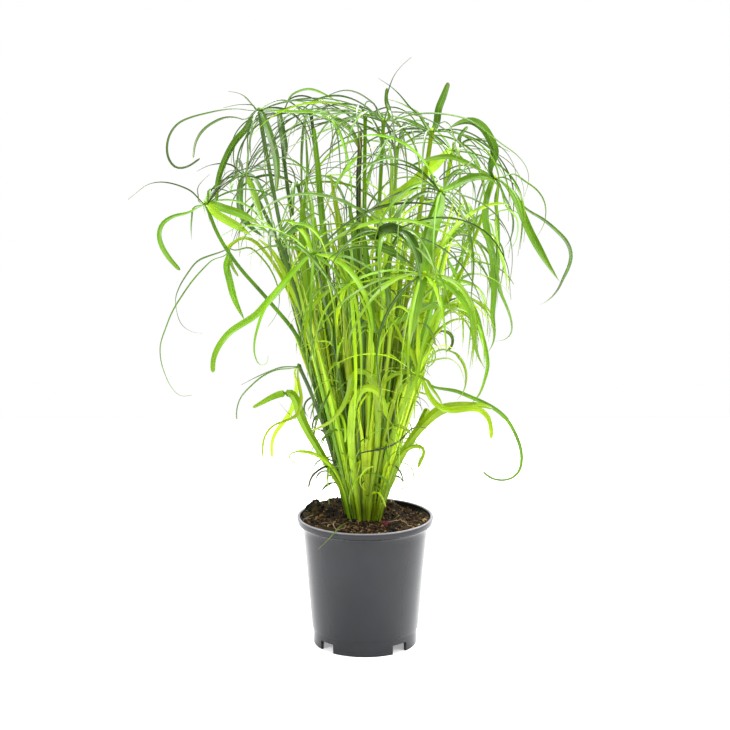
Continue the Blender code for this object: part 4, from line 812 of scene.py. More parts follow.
RING = 8
ACROSS = np.array([1.0, 0.5, 0.0, -0.5, -1.0, -0.5, 0.0, 0.5])
UPPER = np.array([0.0, 0.0, 0.0, 0.0, 0.0, 1.0, 1.0, 1.0])
MIDRIB = np.array([0.0, 0.0, 1.0, 0.0, 0.0, 0.0, 1.0, 0.0])
FOLD = 0.34
TIP_ROUND = 3.5
BLADE_THICK = 0.30
MIDRIB_THICK = 0.45
GROOVE = 0.12
STEM_RING = 12
SLIM_FOOT = 0.72
STEM_CORNERS = 0.16
MOST_ROWS = 70
TIP_ROWS = np.array([0.55, 0.25, 0.08])
TIP_BLUNT = 0.12
# A UV unit is 100 mm
UV_MM = 0.01


def dense(path, step, least=14, tip=False):
    """A path read again at even steps along its length, with its tangents and share of length.

    For a blade's tip, three rows more stand close before its last point.
    """
    run = run_along(path)
    count = int(np.clip(run[-1] / step, least, MOST_ROWS))
    at = np.linspace(0, run[-1], count)
    line = read_at(at, run, path)
    line[1:-1] = 0.25 * line[:-2] + 0.5 * line[1:-1] + 0.25 * line[2:]
    tangent = unit(np.gradient(line, axis=0))
    if not tip:
        return line, tangent, at / run[-1]
    near = line[-1] - (line[-1] - line[-2]) * TIP_ROWS[:, None]
    line = np.concatenate([line[:-1], near, line[-1:]])
    tangent = np.concatenate([tangent, np.repeat(tangent[-1:], 3, axis=0)])
    last = 1 - (at[-1] - at[-2]) / run[-1] * TIP_ROWS
    return line, tangent, np.concatenate([at[:-1] / run[-1], last, [1.0]])


def blade_surface(leaf, step):
    """A blade: a closed ring of eight points carried along the leaf's path.

    The ring holds the two margins, the midrib's groove above, its keel below, and a point half way
    on each side. The margins rise above the midrib, so the blade is a shallow trough. It is turned as
    its solid is, and by a gentle twist to and fro.
    """
    line, tangent, share = dense(leaf["path"], step, tip=True)
    side, up, angle = blade_turn(leaf, line, tangent, share)
    if leaf["face"] > 0:
        angle = np.convolve(np.pad(angle, 3, mode="edge"), np.ones(7) / 7, mode="valid")
    amount, phase = leaf["twist"]
    angle = angle + math.radians(amount) * np.sin(2 * math.pi * (1.4 * share + phase)) * share
    across = np.cos(angle)[:, None] * side + np.sin(angle)[:, None] * up
    above = np.cross(tangent, across)
    half = blade_width(share, leaf) / 2
    length = share * np.linalg.norm(np.diff(line, axis=0), axis=1).sum()
    left = np.clip((length[-1] - length) / TIP_ROUND, 0, 1)
    half = half * np.maximum(np.sqrt(1 - (1 - left) ** 2), TIP_BLUNT)
    fine = np.clip(half / 1.2, 0.45, 1)[:, None]
    rise = FOLD * half[:, None] * np.abs(ACROSS) - GROOVE * fine * MIDRIB * (1 - UPPER)
    height = rise - UPPER * ((BLADE_THICK + MIDRIB_THICK * MIDRIB) * fine)
    points = (line[:, None] + across[:, None] * (half[:, None] * ACROSS)[..., None]
              + above[:, None] * height[..., None])
    tone = np.broadcast_to(np.array(leaf["tone"]), (len(line), RING, 4)).copy()
    # Painted shade: near the clump's core and at its foot the blade's own shade is darkened.
    tone[..., 1] *= painted_core_shade(line, np.linspace(0, 1, len(line)))[:, None]
    tone[..., 2] = share[:, None]
    uv = np.stack(np.broadcast_arrays(half[:, None] * ACROSS, length[:, None]), axis=-1) * UV_MM
    return points, tone, uv


def tube_surface(path, radius, turn, tone, corners, ring=STEM_RING, axis=None):
    """A tube of points around a path, which swells at three corners by the share given."""
    tangent = unit(np.gradient(path, axis=0))
    if axis is not None:
        tangent[-1] = axis
    first = unit(np.cross(tangent, ASKEW))
    second = np.cross(tangent, first)
    angle = 2 * math.pi * np.arange(ring) / ring
    swell = 1 + corners * np.cos(3 * angle)
    wide = np.broadcast_to(radius, len(path))[:, None] * swell
    points = (path[:, None] + (wide * np.cos(angle + turn))[..., None] * first[:, None]
              + (wide * np.sin(angle + turn))[..., None] * second[:, None])
    run = run_along(path)
    tones = np.broadcast_to(np.array(tone), (len(path), ring, 4)).copy()
    # Painted shade: near the clump's core and at its foot the tube's own shade is darkened.
    tones[..., 1] *= painted_core_shade(path, run / run[-1])[:, None]
    tones[..., 2] = (run / run[-1])[:, None]
    round_it = np.max(radius) * (math.pi - np.abs(angle - math.pi))
    uv = np.stack(np.broadcast_arrays(round_it, run[:, None]), axis=-1) * UV_MM
    return points, tones, uv


def closed_faces(rows, ring, first):
    """Faces of a ring carried along rows, with its two ends closed, numbered on from first."""
    i = first + np.arange(rows - 1)[:, None] * ring
    k = np.arange(ring)[None]
    after = (k + 1) % ring
    sides = np.stack([i + k, i + after, i + ring + after, i + ring + k], axis=-1).reshape(-1, 4)
    low = first + np.arange(ring)[::-1]
    return sides, low, first + (rows - 1) * ring + np.arange(ring)


def joined(surfaces):
    """Several ringed surfaces as one set of points, tones, UVs, corners and face sizes."""
    points, tones, uvs, corners, sizes = [], [], [], [], []
    first = 0
    for surface, tone, uv in surfaces:
        rows, ring = surface.shape[:2]
        sides, low, high = closed_faces(rows, ring, first)
        corners += [sides.ravel(), low, high]
        sizes += [np.full(len(sides), 4), [ring, ring]]
        points.append(surface.reshape(-1, 3))
        tones.append(tone.reshape(-1, 4))
        uvs.append(uv.reshape(-1, 2))
        first += rows * ring
    return [np.concatenate(part) for part in (points, tones, uvs, corners, sizes)]


def make_piece(name, shape, material, slot, replaced=(), sharp=50.0):
    """A piece of the plant from points in millimetres, which rides on the plant's one body."""
    points, tones, uvs, corners, sizes = shape
    mesh = bpy.data.meshes.new(name)
    mesh.vertices.add(len(points))
    mesh.vertices.foreach_set("co", (points * MM).astype(np.float32).ravel())
    mesh.loops.add(len(corners))
    mesh.loops.foreach_set("vertex_index", corners.astype(np.int32))
    mesh.polygons.add(len(sizes))
    starts = np.concatenate([[0], np.cumsum(sizes)[:-1]]).astype(np.int32)
    mesh.polygons.foreach_set("loop_start", starts)
    mesh.update(calc_edges=True)
    tone = mesh.attributes.new("tone", "FLOAT_COLOR", "POINT")
    tone.data.foreach_set("color", tones.astype(np.float32).ravel())
    layer = mesh.uv_layers.new(name="blade")
    layer.uv.foreach_set("vector", uvs[corners].astype(np.float32).ravel())
    mesh.validate()
    mesh.shade_smooth()
    mesh.set_sharp_from_angle(angle=math.radians(sharp))
    mesh.materials.append(material)
    piece = bpy.data.objects.new(name, mesh)
    bpy.context.scene.collection.objects.link(piece)
    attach(piece, "root")
    if replaced:
        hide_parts(*replaced)
    return piece


def stem_surface(stem):
    """A stem from the peat up into its crown, thinner towards the top, with a slim foot."""
    path = np.concatenate([stem["path"], [stem["crown"] - stem["axis"] * KNOB_H * 0.3]])
    line, _, share = dense(path, 6.0, least=30)
    line[0, 2] = STEM_FOOT_Z - 1.2
    radius = stem["thickness"] * (STEM_R_FOOT + (STEM_R_TOP - STEM_R_FOOT) * share)
    radius = radius * np.interp(share, (0, 0.5), (SLIM_FOOT, 1.0))
    radius = radius * (1 + 0.25 * np.clip((share - 0.985) / 0.015, 0, 1))
    return tube_surface(line, radius, stem["turn"], stem["tone"], STEM_CORNERS, axis=stem["axis"])


def knob_surface(stem):
    """The knob that a crown's leaves grow from: a short spindle turned about the stem's axis."""
    along = np.array([-1.9, -1.2, -0.2, 0.9, 1.9, 2.7])
    radius = np.array([1.6, 1.9, 2.1, 1.9, 1.3, 0.5])
    path = stem["crown"] + along[:, None] * stem["axis"]
    tone = (min(stem["tone"][0] + 0.2, 1.0), 0.5, 0.0, 0.0)
    return tube_surface(path, radius, 0.0, tone, 0.06, axis=stem["axis"])


# Where the plant is lime, and the painted shade of the clump's core

THREAD_WIDTHS = (0.8, 3.2)
# Height over the peat where the painted shade of the core starts to fade, and how far up it is gone
CORE_TALL = 115
CORE_FADE = 170


def lime_share(point, rng):
    """How lime a leaf is, from 0 to 1: more low and near the axis, and a little more on the right."""
    low = np.clip((500 - point[2]) / 170, 0, 1)
    right = np.clip((point[0] + 80) / 150, 0, 1)
    outer = np.clip((math.hypot(point[0], point[1]) - 70) / 80, 0, 1)
    lime = (0.22 + 0.50 * low + (0.08 + 0.16 * low) * right) * (1 - 0.4 * outer)
    return float(np.clip(lime + rng.normal(0, 0.17), 0, 1 - 0.45 * outer))


def leaf_tone(leaf, rng, extra=0.0):
    """A leaf's tone: lime share, its own shade, share of its length, and how dry its end is.

    High on the plant, slim leaves are darker and greyer than broad ones.
    """
    middle = leaf["path"][len(leaf["path"]) // 2]
    high = np.clip((middle[2] - 375) / 100, 0, 1)
    slim = 1 - high * (1 - np.interp(leaf["width"], THREAD_WIDTHS, (0.0, 1.0)))
    dry = max(rng.normal(0.1, 0.2), 0.0)
    lime = np.clip(lime_share(middle, rng) + extra, 0.2, 1) * slim
    return (lime, rng.uniform(0.3, 1), 0.0, min(dry, 1.0))


def painted_core_shade(path, share):
    """Painted shade of the clump's core along a path, at shares of its length: 1 outside, less near the
    axis.

    The core is an ellipse that widens with the fan of stems. It fades out above the thick of the clump,
    and the last few centimetres above the peat are darker all round, painted shade with some dirt.
    """
    x, y, z = read_at(share, np.linspace(0, 1, len(path)), path).T
    tall = np.clip(z - STEM_FOOT_Z, 0, None)
    far = np.hypot(x / (CLUMP_RX + FAN_SLOPE[0] * tall), (y - CLUMP_Y) / (CLUMP_RY + FAN_SLOPE[1] * tall))
    dark = np.clip(0.16 + 0.95 * far ** 1.8, 0, 1)
    fade = np.clip((tall - CORE_TALL) / CORE_FADE, 0, 1)
    return (dark + (1 - dark) * fade) * np.interp(tall, (0, 70), (0.6, 1.0))


# Leaves that only the fine surface has

# How much wider the fan is for each millimetre of height, across and in depth
FAN_SLOPE = (0.30, 0.24)
# Threads on a crown by its height
THREAD_HEIGHTS = (330, 400, 470, 520)
THREADS = (10, 7, 2, 1)
THREAD_TRIES = 14
THREAD_LENGTHS = (90, 175)
THREAD_ROLLS = (20, 35)
THIN_WIDTHS = (0.8, 2.2)
BROAD_WIDTHS = (2.6, 5.5)
BROAD_SHARE = 0.3
# Points that bend a young blade's top over: the share of blades that has each, and its way out and up
ARCHED_TOPS = ((0.5, 0.45, 0.45), (0.5, 0.7, -0.12), (0.35, 0.45, -0.6), (0.2, 0.1, -0.7))
INNER_REACH = (50, 350)
INNER_WIDTHS = (2.2, 4.8)
WIDE_WIDTHS = (4.8, 7.2)
INNER_ROLLS = (15, 30)
TOP_REACH = (10, 42)
FRONT_REACH = (120, 340)
FRONT_WIDTHS = (3.2, 6.6)
# Curls: lengths, widths, heights over the peat, lifts, bends and rolls
LONG_SHARE = 0.35
LONG_CURLS = (45, 120)
SHORT_CURLS = (25, 80)
LONG_WIDTHS = (1.1, 2.0)
SHORT_WIDTHS = (1.4, 3.8)
CURL_HEIGHTS = (12, 60)
CURL_LIFTS = (0.3, 1.3)
CURL_BENDS = (1.2, 3.8)
CURL_ROLLS = (25, 50)
CURL_STEPS = 12
CURL_DROP = (8.0, 45.0)
INNER_TRIES = 760
FRONT_TRIES = 260
CURLS = 350
SIDE_CURLS = 90

MORE_LEAVES = [
    ("11", 1.5, 0.0, 0.0, -10, [(20, 520), (23, 532), (28, 543), (35, 551), (42, 557)]),
    ("04", 1.6, 0.0, 0.0, 10, [(-154, 428), (-155, 437), (-150, 444), (-143, 450)]),
    ("01", 1.6, 0.0, 0.0, -20, [(-101, 512), (-115, 514), (-130, 511)]),
    ("15", 4.0, 0.7, 0.0, 60, [(120, 430), (122, 410), (123, 380), (122, 355), (126, 340), (133, 324),
     (137, 310), (136, 300), (130, 295), (121, 294)]),
    ("15", 2.4, 0.3, 0.0, -100, [(121, 400), (124, 380), (129, 363), (134, 350), (134, 341)]),
    ("15", 2.6, 0.3, 0.0, -30, [(130, 420), (140, 410), (141, 395), (138, 385), (132, 378)]),
    ("05", 3.5, 0.8, 0.5, 10, [(-125, 370), (-121, 360), (-118, 355)]),
    ("22", 1.5, 0.0, 0.0, 0, [(56, 272), (66, 276), (76, 278), (85, 274), (92, 262), (94, 250)]),
    ("07", 5.0, 0.8, 0.2, -10, [(-72, 393), (-64, 400), (-54, 409), (-46, 414)]),
    ("14", 9.5, 1.0, 0.3, -75, [(70, 424), (67, 412), (62, 395), (57, 375), (52, 350), (48, 325),
     (45, 302)]),
]


def grow_more(stems, crowns, space):
    """More leaves on each crown, finer than its solids: some drawn, the rest thin threads."""
    rng = np.random.default_rng(31)
    for name, width, face, end, reach, points in MORE_LEAVES:
        stem = stems[name]
        share = (np.arange(len(points)) + 1) / len(points)
        way = [seen(x, z, stem["crown"][1] + reach * part) for (x, z), part in zip(points, share)]
        leaf = drawn_leaf(stem, way, width, face, end)
        rows, tip = ribbon(leaf)
        space.add(*closed_ribbon(rows[1:], tip), name, "leaf")
        crowns[name].append(leaf)
    for number in range(max(THREADS)):
        for (name, *_, size), stem in zip(STEMS, stems.values()):
            if number >= np.interp(stem["crown"][2], THREAD_HEIGHTS, THREADS):
                continue
            for attempt in range(THREAD_TRIES):
                angle = rng.uniform(0, 2 * math.pi)
                broad = rng.random() < BROAD_SHARE
                length = rng.uniform(*THREAD_LENGTHS) * max(size, 0.6) * (1 - 0.03 * attempt)
                lift = rng.uniform(*LEAF_LIFTS)
                bend = rng.uniform(*LEAF_BENDS)
                way = arched_way(stem, angle, length, lift, bend, rng.normal(0, 0.5))
                width = rng.uniform(*(BROAD_WIDTHS if broad else THIN_WIDTHS))
                roll = tuple(rng.normal(0, THREAD_ROLLS))
                leaf = crown_leaf(stem, angle, way, lift, width, roll)
                if not kept_in(leaf["path"]):
                    continue
                rows, tip = ribbon(leaf, 0.1)
                points, faces = closed_ribbon(rows[1:], tip)
                if points[:, 2].min() > LOWEST_LEAF_Z and space.clear(
                        points, faces, lambda who, kind: who == name and kind in ("foot", "knob")):
                    space.add(points, faces, name, "leaf")
                    crowns[name].append(leaf)
                    break


# Side shoots, and blades of the clump's dark middle, that the photograph shows: width, face, end, depth
# at the start and the tip, points
DRAWN_CURLS = [
    (2.6, 0.8, 0.7, -16, -24, [(-40, 172), (-51, 163), (-54, 152)]),
    (1.3, 0.0, 0.0, -14, -22, [(-40, 220), (-49, 218), (-50, 209), (-43, 203)]),
    (0.9, 0.0, 0.0, -24, -30, [(-34, 168), (-28, 173), (-11, 172), (6, 173), (12, 167)]),
    (2.2, 0.6, 0.4, -30, -38, [(-6, 185), (20, 191), (33, 198), (46, 211), (63, 209)]),
    (0.9, 0.0, 0.0, -10, -16, [(33, 169), (43, 167), (49, 160), (46, 149)]),
    (1.0, 0.0, 0.0, -8, -14, [(36, 160), (43, 154), (45, 147), (44, 138)]),
    (7.5, 1.0, 0.9, -10, -22, [(37, 187), (44, 199), (52, 213), (59, 229)]),
    (1.6, 0.3, 0.0, -4, -10, [(18, 249), (20, 264), (29, 270)]),
    (2.0, 0.4, 0.0, -6, -14, [(36, 257), (44, 268), (52, 270), (61, 261)]),
    (13.0, 1.0, 0.95, -50, -62, [(-12, 336), (-8, 350), (-3, 354), (0, 345), (3, 328), (4, 313)]),
    (5.0, 0.8, 0.3, -50, -60, [(8, 322), (11, 316), (15, 304), (18, 294)]),
    # A near-black upright blade: painted shade, a blade that stands in shadow.
    (4.5, 1.0, 0.95, -36, -44, [(-7, 378), (-6, 400), (-6, 425), (-6, 450), (-5, 470), (-5, 490)]),
    (3.0, 0.3, 0.2, 20, 20, [(-55, 420), (-53, 450), (-54, 480), (-55, 502)]),
    (1.0, 0.0, 0.0, 0, -10, [(-60, 215), (-70, 222), (-82, 236)]),
    (7.0, 0.9, 0.3, -60, -78, [(27, 311), (46, 323), (60, 327), (75, 328), (86, 325)]),
    (7.0, 0.9, 0.3, -60, -66, [(1, 310), (-3, 340), (-7, 370), (-11, 398), (-15, 424)]),
    (6.5, 0.9, 0.3, -66, -72, [(8, 305), (5, 335), (2, 365), (-1, 390), (-4, 408)]),
    (6.0, 0.8, 0.3, -50, -56, [(-9, 320), (-13, 350), (-17, 380), (-20, 404)]),
    (6.0, 0.8, 0.3, -72, -80, [(22, 330), (20, 352), (23, 374), (30, 392), (36, 400)]),
    (7.5, 0.9, 0.5, -40, -50, [(-50, 304), (-52, 333), (-55, 361), (-58, 389), (-58, 413), (-57, 428)]),
    (6.0, 0.9, 0.5, -10, -30, [(-35, 369), (-38, 394), (-41, 422), (-43, 450), (-45, 472), (-47, 493)]),
    (5.5, 0.9, 0.3, -30, -40, [(-19, 380), (-23, 403), (-28, 426), (-32, 450)]),
    (6.5, 0.8, 0.2, -28, -20, [(-48, 294), (-56, 317), (-67, 341), (-79, 367), (-91, 384), (-99, 390)]),
    (8.5, 1.0, 0.4, -96, -112, [(12, 394), (20, 401), (30, 400), (40, 392), (48, 380), (52, 367)]),
    (7.5, 0.9, 0.3, -98, -118, [(10, 388), (18, 382), (28, 376), (38, 368)]),
    (7.0, 0.9, 0.3, -96, -104, [(8, 392), (0, 400), (-9, 404), (-18, 402)]),
    (4.5, 0.9, 0.3, -30, -20, [(60, 372), (74, 386), (90, 400), (104, 412)]),
]
# How far curls may stand out beside the clump: at the peat, and more for each millimetre of height
CURL_REACH = (45.0, 0.13)
# Shade of the curls that are nearly black, by their place above; the blackest is painted shade, a blade
# standing in shadow
SHADED_AND_DARK_CURLS = {0: 0.45, 1: 0.6, 3: 0.4, 11: 0.12}
# Lime share and shade of the drawn blades of the clump's dark middle, by their place above
CORE_TONES = {14: (0.45, 0.55), 15: (0.36, 0.36), 16: (0.40, 0.42), 17: (0.34, 0.34), 18: (0.36, 0.40),
              19: (0.52, 0.50), 20: (0.42, 0.55), 21: (0.78, 0.40),
              22: (0.80, 0.50), 23: (0.30, 0.34), 24: (0.38, 0.42), 25: (0.33, 0.42), 26: (0.42, 0.40)}


def curl_way(start, heading, length, lift, bend, turn):
    """Points of a shoot that leaves its start at a lift, bends over and turns to one side on its way."""
    share = (np.arange(CURL_STEPS) + 0.5) / CURL_STEPS
    rise = lift - bend * share ** 1.3
    way = heading + turn * share
    steps = np.column_stack([np.cos(rise) * np.cos(way), np.cos(rise) * np.sin(way), np.sin(rise)])
    return list(start + np.cumsum(steps * length / CURL_STEPS, axis=0))


def nearest_stem(stems, point):
    """The place on a stem, a little lower than a point, that is nearest to it."""
    places = np.concatenate([stem["path"] for stem in stems.values()])
    drop = point[2] - places[:, 2]
    places = places[(drop > CURL_DROP[0]) & (drop < CURL_DROP[1])]
    return places[np.linalg.norm(places - point, axis=1).argmin()]


def grow_curls(stems):
    """Shoots and blades out of the clump's stems: some drawn, the rest thin curls at random."""
    rng = np.random.default_rng(83)
    curls = []
    for width, face, end, depth, depth_tip, points in DRAWN_CURLS:
        depths = np.linspace(depth, depth_tip, len(points))
        way = [seen(x, z, y) for (x, z), y in zip(points, depths)]
        leaf = base_leaf(smooth([nearest_stem(stems, way[0])] + way), width, face, end)
        leaf.update(foot=0.5, rise=0.4, dark=SHADED_AND_DARK_CURLS.get(len(curls), 1.0))
        curls.append(leaf)
    outer = [stem["path"] for stem in stems.values() if math.hypot(
        stem["path"][0, 0] / CLUMP_RX, (stem["path"][0, 1] - CLUMP_Y) / CLUMP_RY) > 0.6]
    for number in range(CURLS + SIDE_CURLS):
        path = outer[number % len(outer)]
        height = STEM_FOOT_Z + rng.uniform(*CURL_HEIGHTS) + 200 * rng.random() ** 1.4
        start = path[np.abs(path[:, 2] - height).argmin()]
        out = start[:2] - (0.0, CLUMP_Y)
        heading = math.atan2(out[1], out[0]) + rng.normal(0, 0.7)
        sideways = number >= CURLS
        if sideways:
            heading = rng.choice((0.0, math.pi)) + rng.normal(0, 0.35)
        long = sideways or rng.random() < LONG_SHARE
        length = rng.uniform(*(LONG_CURLS if long else SHORT_CURLS))
        width = rng.uniform(*(LONG_WIDTHS if long else SHORT_WIDTHS))
        lift, bend = rng.uniform(*CURL_LIFTS), rng.uniform(*CURL_BENDS)
        way = curl_way(start, heading, length, lift, bend, rng.normal(0, 0.7))
        leaf = base_leaf(smooth([start] + way), width, 0.0, 0.0 if rng.random() < 0.8 else 0.6)
        leaf.update(foot=0.5, rise=0.3, roll=tuple(rng.normal(0, CURL_ROLLS)))
        flat = on_front_plane(leaf["path"][::4])
        near = np.abs(flat[:, 0]) < CURL_REACH[0] + CURL_REACH[1] * (flat[:, 1] - STEM_FOOT_Z)
        if leaf["path"][:, 2].min() > LOWEST_LEAF_Z - 8 and (near | inside(flat, OUTLINE)).all():
            curls.append(leaf)
    return curls


def fan_way(u, v, reach, bow):
    """Points of a blade in the clump's fan: straight out from its foot, bowed outwards near its top.

    The foot stands at (u, v) of the clump's ellipse, and at each height the fan is wider by FAN_SLOPE.
    """
    foot = np.array([u * CLUMP_RX, CLUMP_Y + v * (CLUMP_RY - 3.0), STEM_FOOT_Z - 1.5])
    slope = np.array([u * FAN_SLOPE[0], v * FAN_SLOPE[1], 1.0])
    share = np.array([0.0, 0.35, 0.7, 1.0])[:, None]
    out = np.array([u, v, 0.0]) * bow * share ** 2.5
    return list(foot + slope * reach * share + out)


def settle(leaf, blades, space, skip=lambda who, kind: False):
    """Note a young blade where it keeps inside the outline and clear of what isn't skipped."""
    rows, tip = ribbon(leaf)
    points, faces = closed_ribbon(rows[2:], tip)
    if inside(on_front_plane(leaf["path"][::4])[2:], OUTLINE).all() and space.clear(points, faces, skip):
        space.add(points, faces, "inner", "blade")
        blades.append(leaf)


def grow_inner_blades(space):
    """Young blades that stand in the clump between the stems, along the fan of stems.

    Most are slim and straight. The tops of some arch over, towards the outside of the fan. Those at
    the front may stand before leaves of the crowns.
    """
    rng = np.random.default_rng(43)
    blades = []
    for number in range(INNER_TRIES):
        far, way_round = math.sqrt(rng.random()), rng.uniform(0, 2 * math.pi)
        u, v = far * math.cos(way_round), far * math.sin(way_round)
        reach = rng.uniform(*INNER_REACH) * (1 - 0.30 * far)
        way = fan_way(u, v, reach, rng.uniform(0, 10))
        kind = rng.random()
        heading = unit(np.array([u, 0.6 * v, 0.0]) + 0.45 * np.append(rng.normal(0, 1, 2), 0))
        if kind < 0.5:
            over = rng.uniform(*TOP_REACH)
            for limit, out, up in ARCHED_TOPS:
                if kind < limit:
                    way.append(way[-1] + heading * over * out + (0, 0, over * up))
        width = rng.uniform(*(INNER_WIDTHS if number % 4 else WIDE_WIDTHS))
        leaf = base_leaf(smooth(way, 60), width, 0.0, 0.0 if rng.random() < 0.85 else 0.6)
        leaf["side"] = unit(np.array([1.0, rng.normal(0.1, 0.6), 0.0]))
        leaf["roll"] = tuple(rng.normal(0, INNER_ROLLS))
        settle(leaf, blades, space)
    for _ in range(FRONT_TRIES):
        u, v = rng.uniform(-0.75, 0.8), rng.uniform(-1, 0.1)
        reach = rng.uniform(*FRONT_REACH)
        path = smooth(fan_way(u, v, reach, rng.uniform(0, 14)), 60)
        leaf = base_leaf(path, rng.uniform(*FRONT_WIDTHS), rng.uniform(0, 0.9), 0.0)
        leaf["roll"] = tuple(rng.normal(0, INNER_ROLLS))
        settle(leaf, blades, space, lambda who, kind: kind in ("leaf", "foot", "knob"))
    return blades


# Lime share and shade of the leaves that stand out by their colour: crown and place among its leaves
LEAF_TONES = {
    ("01", 0): (0.16, 0.62), ("01", 1): (0.14, 0.50), ("01", 3): (0.30, 0.60),
    ("01", 5): (0.22, 0.50), ("02", 2): (0.20, 0.45), ("03", 2): (0.50, 0.50),
    ("04", 1): (0.34, 0.70), ("04", 3): (0.42, 0.55), ("04", 4): (0.60, 0.60),
    ("05", 0): (0.35, 0.95), ("08", 0): (0.45, 0.75),
    ("12", 0): (0.28, 0.60), ("13", 2): (0.70, 0.55), ("14", 0): (0.36, 0.60), ("14", 12): (0.40, 0.62),
    ("15", 0): (0.30, 0.60), ("15", 2): (0.33, 0.60), ("15", 3): (0.25, 0.60), ("15", 4): (0.36, 0.65),
    ("15", 13): (0.40, 0.65), ("16", 3): (0.32, 0.40), ("18", 0): (0.80, 0.55), ("20", 1): (0.42, 0.75),
    ("21", 0): (0.42, 0.75), ("22", 2): (0.36, 0.60), ("22", 3): (0.75, 0.60),
}
# Leaves whose foot, end or width runs a little otherwise than their solids'
RESHAPED = {
    ("01", 0): {"foot": 0.35, "rise": 0.9, "end": 0.8}, ("01", 1): {"foot": 0.3, "rise": 0.7, "end": 0.5},
    ("04", 1): {"foot": 0.3, "rise": 0.8, "end": 0.6}, ("12", 0): {"foot": 0.85, "twist": (0.0, 0.0)},
    ("15", 3): {"foot": 0.25, "rise": 0.75}, ("22", 2): {"end": 0.85},
}
LIME_STEMS = {"05": 0.80, "04": 0.25, "07": 0.30}

grown = {}


def plant():
    """The whole plant, grown once: its stems, blades, crowns, inner blades and curls."""
    if not grown:
        space = Space()
        stems, blades, crowns = grow_plant(space)
        grow_more(stems, crowns, space)
        rng = np.random.default_rng(57)
        inner = grow_inner_blades(space)
        curls = grow_curls(stems)
        for name, leaves in crowns.items():
            slimmer = np.interp(stems[name]["crown"][2], (380, 500), (0.78, 0.55))
            for number, leaf in enumerate(leaves):
                if leaf["face"] == 0 and leaf["width"] > 2.5:
                    leaf["width"] *= slimmer
                leaf["tone"] = leaf_tone(leaf, rng)
                if (name, number) in LEAF_TONES:
                    leaf["tone"] = (*LEAF_TONES[name, number], 0.0, 0.1)
        for leaf in blades.values():
            lime, _, _, dry = leaf_tone(leaf, rng, 0.1)
            leaf["tone"] = (min(lime, 0.74), rng.uniform(0.40, 0.70), 0.0, 0.4 * dry)
        blades["right_broad"].update(foot=0.25, rise=0.85)
        for (name, number), change in RESHAPED.items():
            crowns[name][number].update(change)
        for leaf in inner:
            leaf["tone"] = leaf_tone(leaf, rng, rng.choice((-0.4, 0.0, 0.38), p=(0.28, 0.25, 0.47)))
        for leaf in curls:
            dark = leaf.get("dark", 1.0)
            lime = rng.uniform(0.12, 0.85) if dark == 1.0 else 0.0
            leaf["tone"] = (lime, rng.uniform(0.3, 1) * dark, 0.0, rng.uniform(0, 0.5))
            if dark == 1.0 and leaf["width"] > 4:
                leaf["tone"] = (0.8, 0.5, 0.0, 0.0)
        for number, tone in CORE_TONES.items():
            curls[number]["tone"] = (*tone, 0.0, 0.0)
        blades["dried"]["tone"] = (0.3, 0.4, 0.0, 0.5)
        for leaves in [*crowns.values(), blades.values(), inner, curls]:
            for leaf in leaves:
                leaf.setdefault("twist", (rng.normal(0, 10 if leaf["face"] > 0 else 30), rng.random()))
        for name, stem in stems.items():
            dark = np.interp(stem["crown"][0], (-60, 60), (0.2, 0.85))
            lime = LIME_STEMS.get(name, max(lime_share(stem["path"][30], rng) * dark, 0.13))
            stem["tone"] = (lime, rng.uniform(0.3, 1), 0.0, 0.0)
        grown.update(stems=stems, blades=blades, crowns=crowns, inner=inner, curls=curls)
    return grown


def from_knob(leaf, crown, axis):
    """The leaf's path with its start drawn in to the middle of its crown."""
    path = leaf["path"]
    out = unit(path[0] - crown)
    start = crown + 0.5 * out - 0.6 * axis
    more = start + (path[0] - start) * np.linspace(0, 1, 4)[:-1, None]
    return {**leaf, "path": np.concatenate([more, path])}


# Materials

# Lime shares where the leaf colours stand, from thread to lime
LIME_STEPS = (0.07, 0.2, 0.42, 0.70, 1.0)
# Share of the pot's own colour in its dark and in its light clouds
CLOUD_SHADES = (0.88, 1.12)
SCUFF_GREY = (0.45, 0.45, 0.47, 1.0)
# Pale grey of the painted highlight along the top of the lip
LIP_HIGHLIGHT_GREY = (0.42, 0.40, 0.43, 1.0)
# Green of the moss on the peat, and of the plant's painted shade on its left side
MOSS_AND_SHADE_GREEN = "#252E10"
BARK_RED = "#6A2632"
# Stops of the ramps: place and hex code
PEAT_BROWNS = [(0.54, "#3A2A18"), (0.74, "#704C26")]
GRAIN_BROWNS = [(0.0, "#0C0805"), (0.5, "#20170B"), (0.74, "#452E12"), (0.87, "#6A4822"),
                (0.95, "#80683A"), (1.0, "#9C8A5C")]
FIBRE_BROWNS = [(0.0, "#2E1E10"), (0.65, "#64472A"), (1.0, "#B8A47A")]


def linear(code):
    """Linear colour of an sRGB hex code such as #A0B1C2."""
    value = np.array([int(code[i:i + 2], 16) for i in (1, 3, 5)]) / 255
    return tuple(np.where(value <= 0.04045, value / 12.92, ((value + 0.055) / 1.055) ** 2.4))


def connect(tree, made, **links):
    """A node's inputs, by name or number, set to values or linked to sockets or nodes' first outputs."""
    for key, value in links.items():
        number = key[0] == "i" and key[1:].isdigit()
        socket = made.inputs[int(key[1:]) if number else key.replace("_", " ")]
        if isinstance(value, (bpy.types.Node, bpy.types.NodeSocket)):
            tree.links.new(getattr(value, "outputs", [value])[0], socket)
        else:
            socket.default_value = value


def node(tree, kind, settings=None, **links):
    """A shader node with its settings, and its inputs set or linked."""
    made = tree.nodes.new("ShaderNode" + kind)
    for key, value in (settings or {}).items():
        setattr(made, key, value)
    connect(tree, made, **links)
    return made


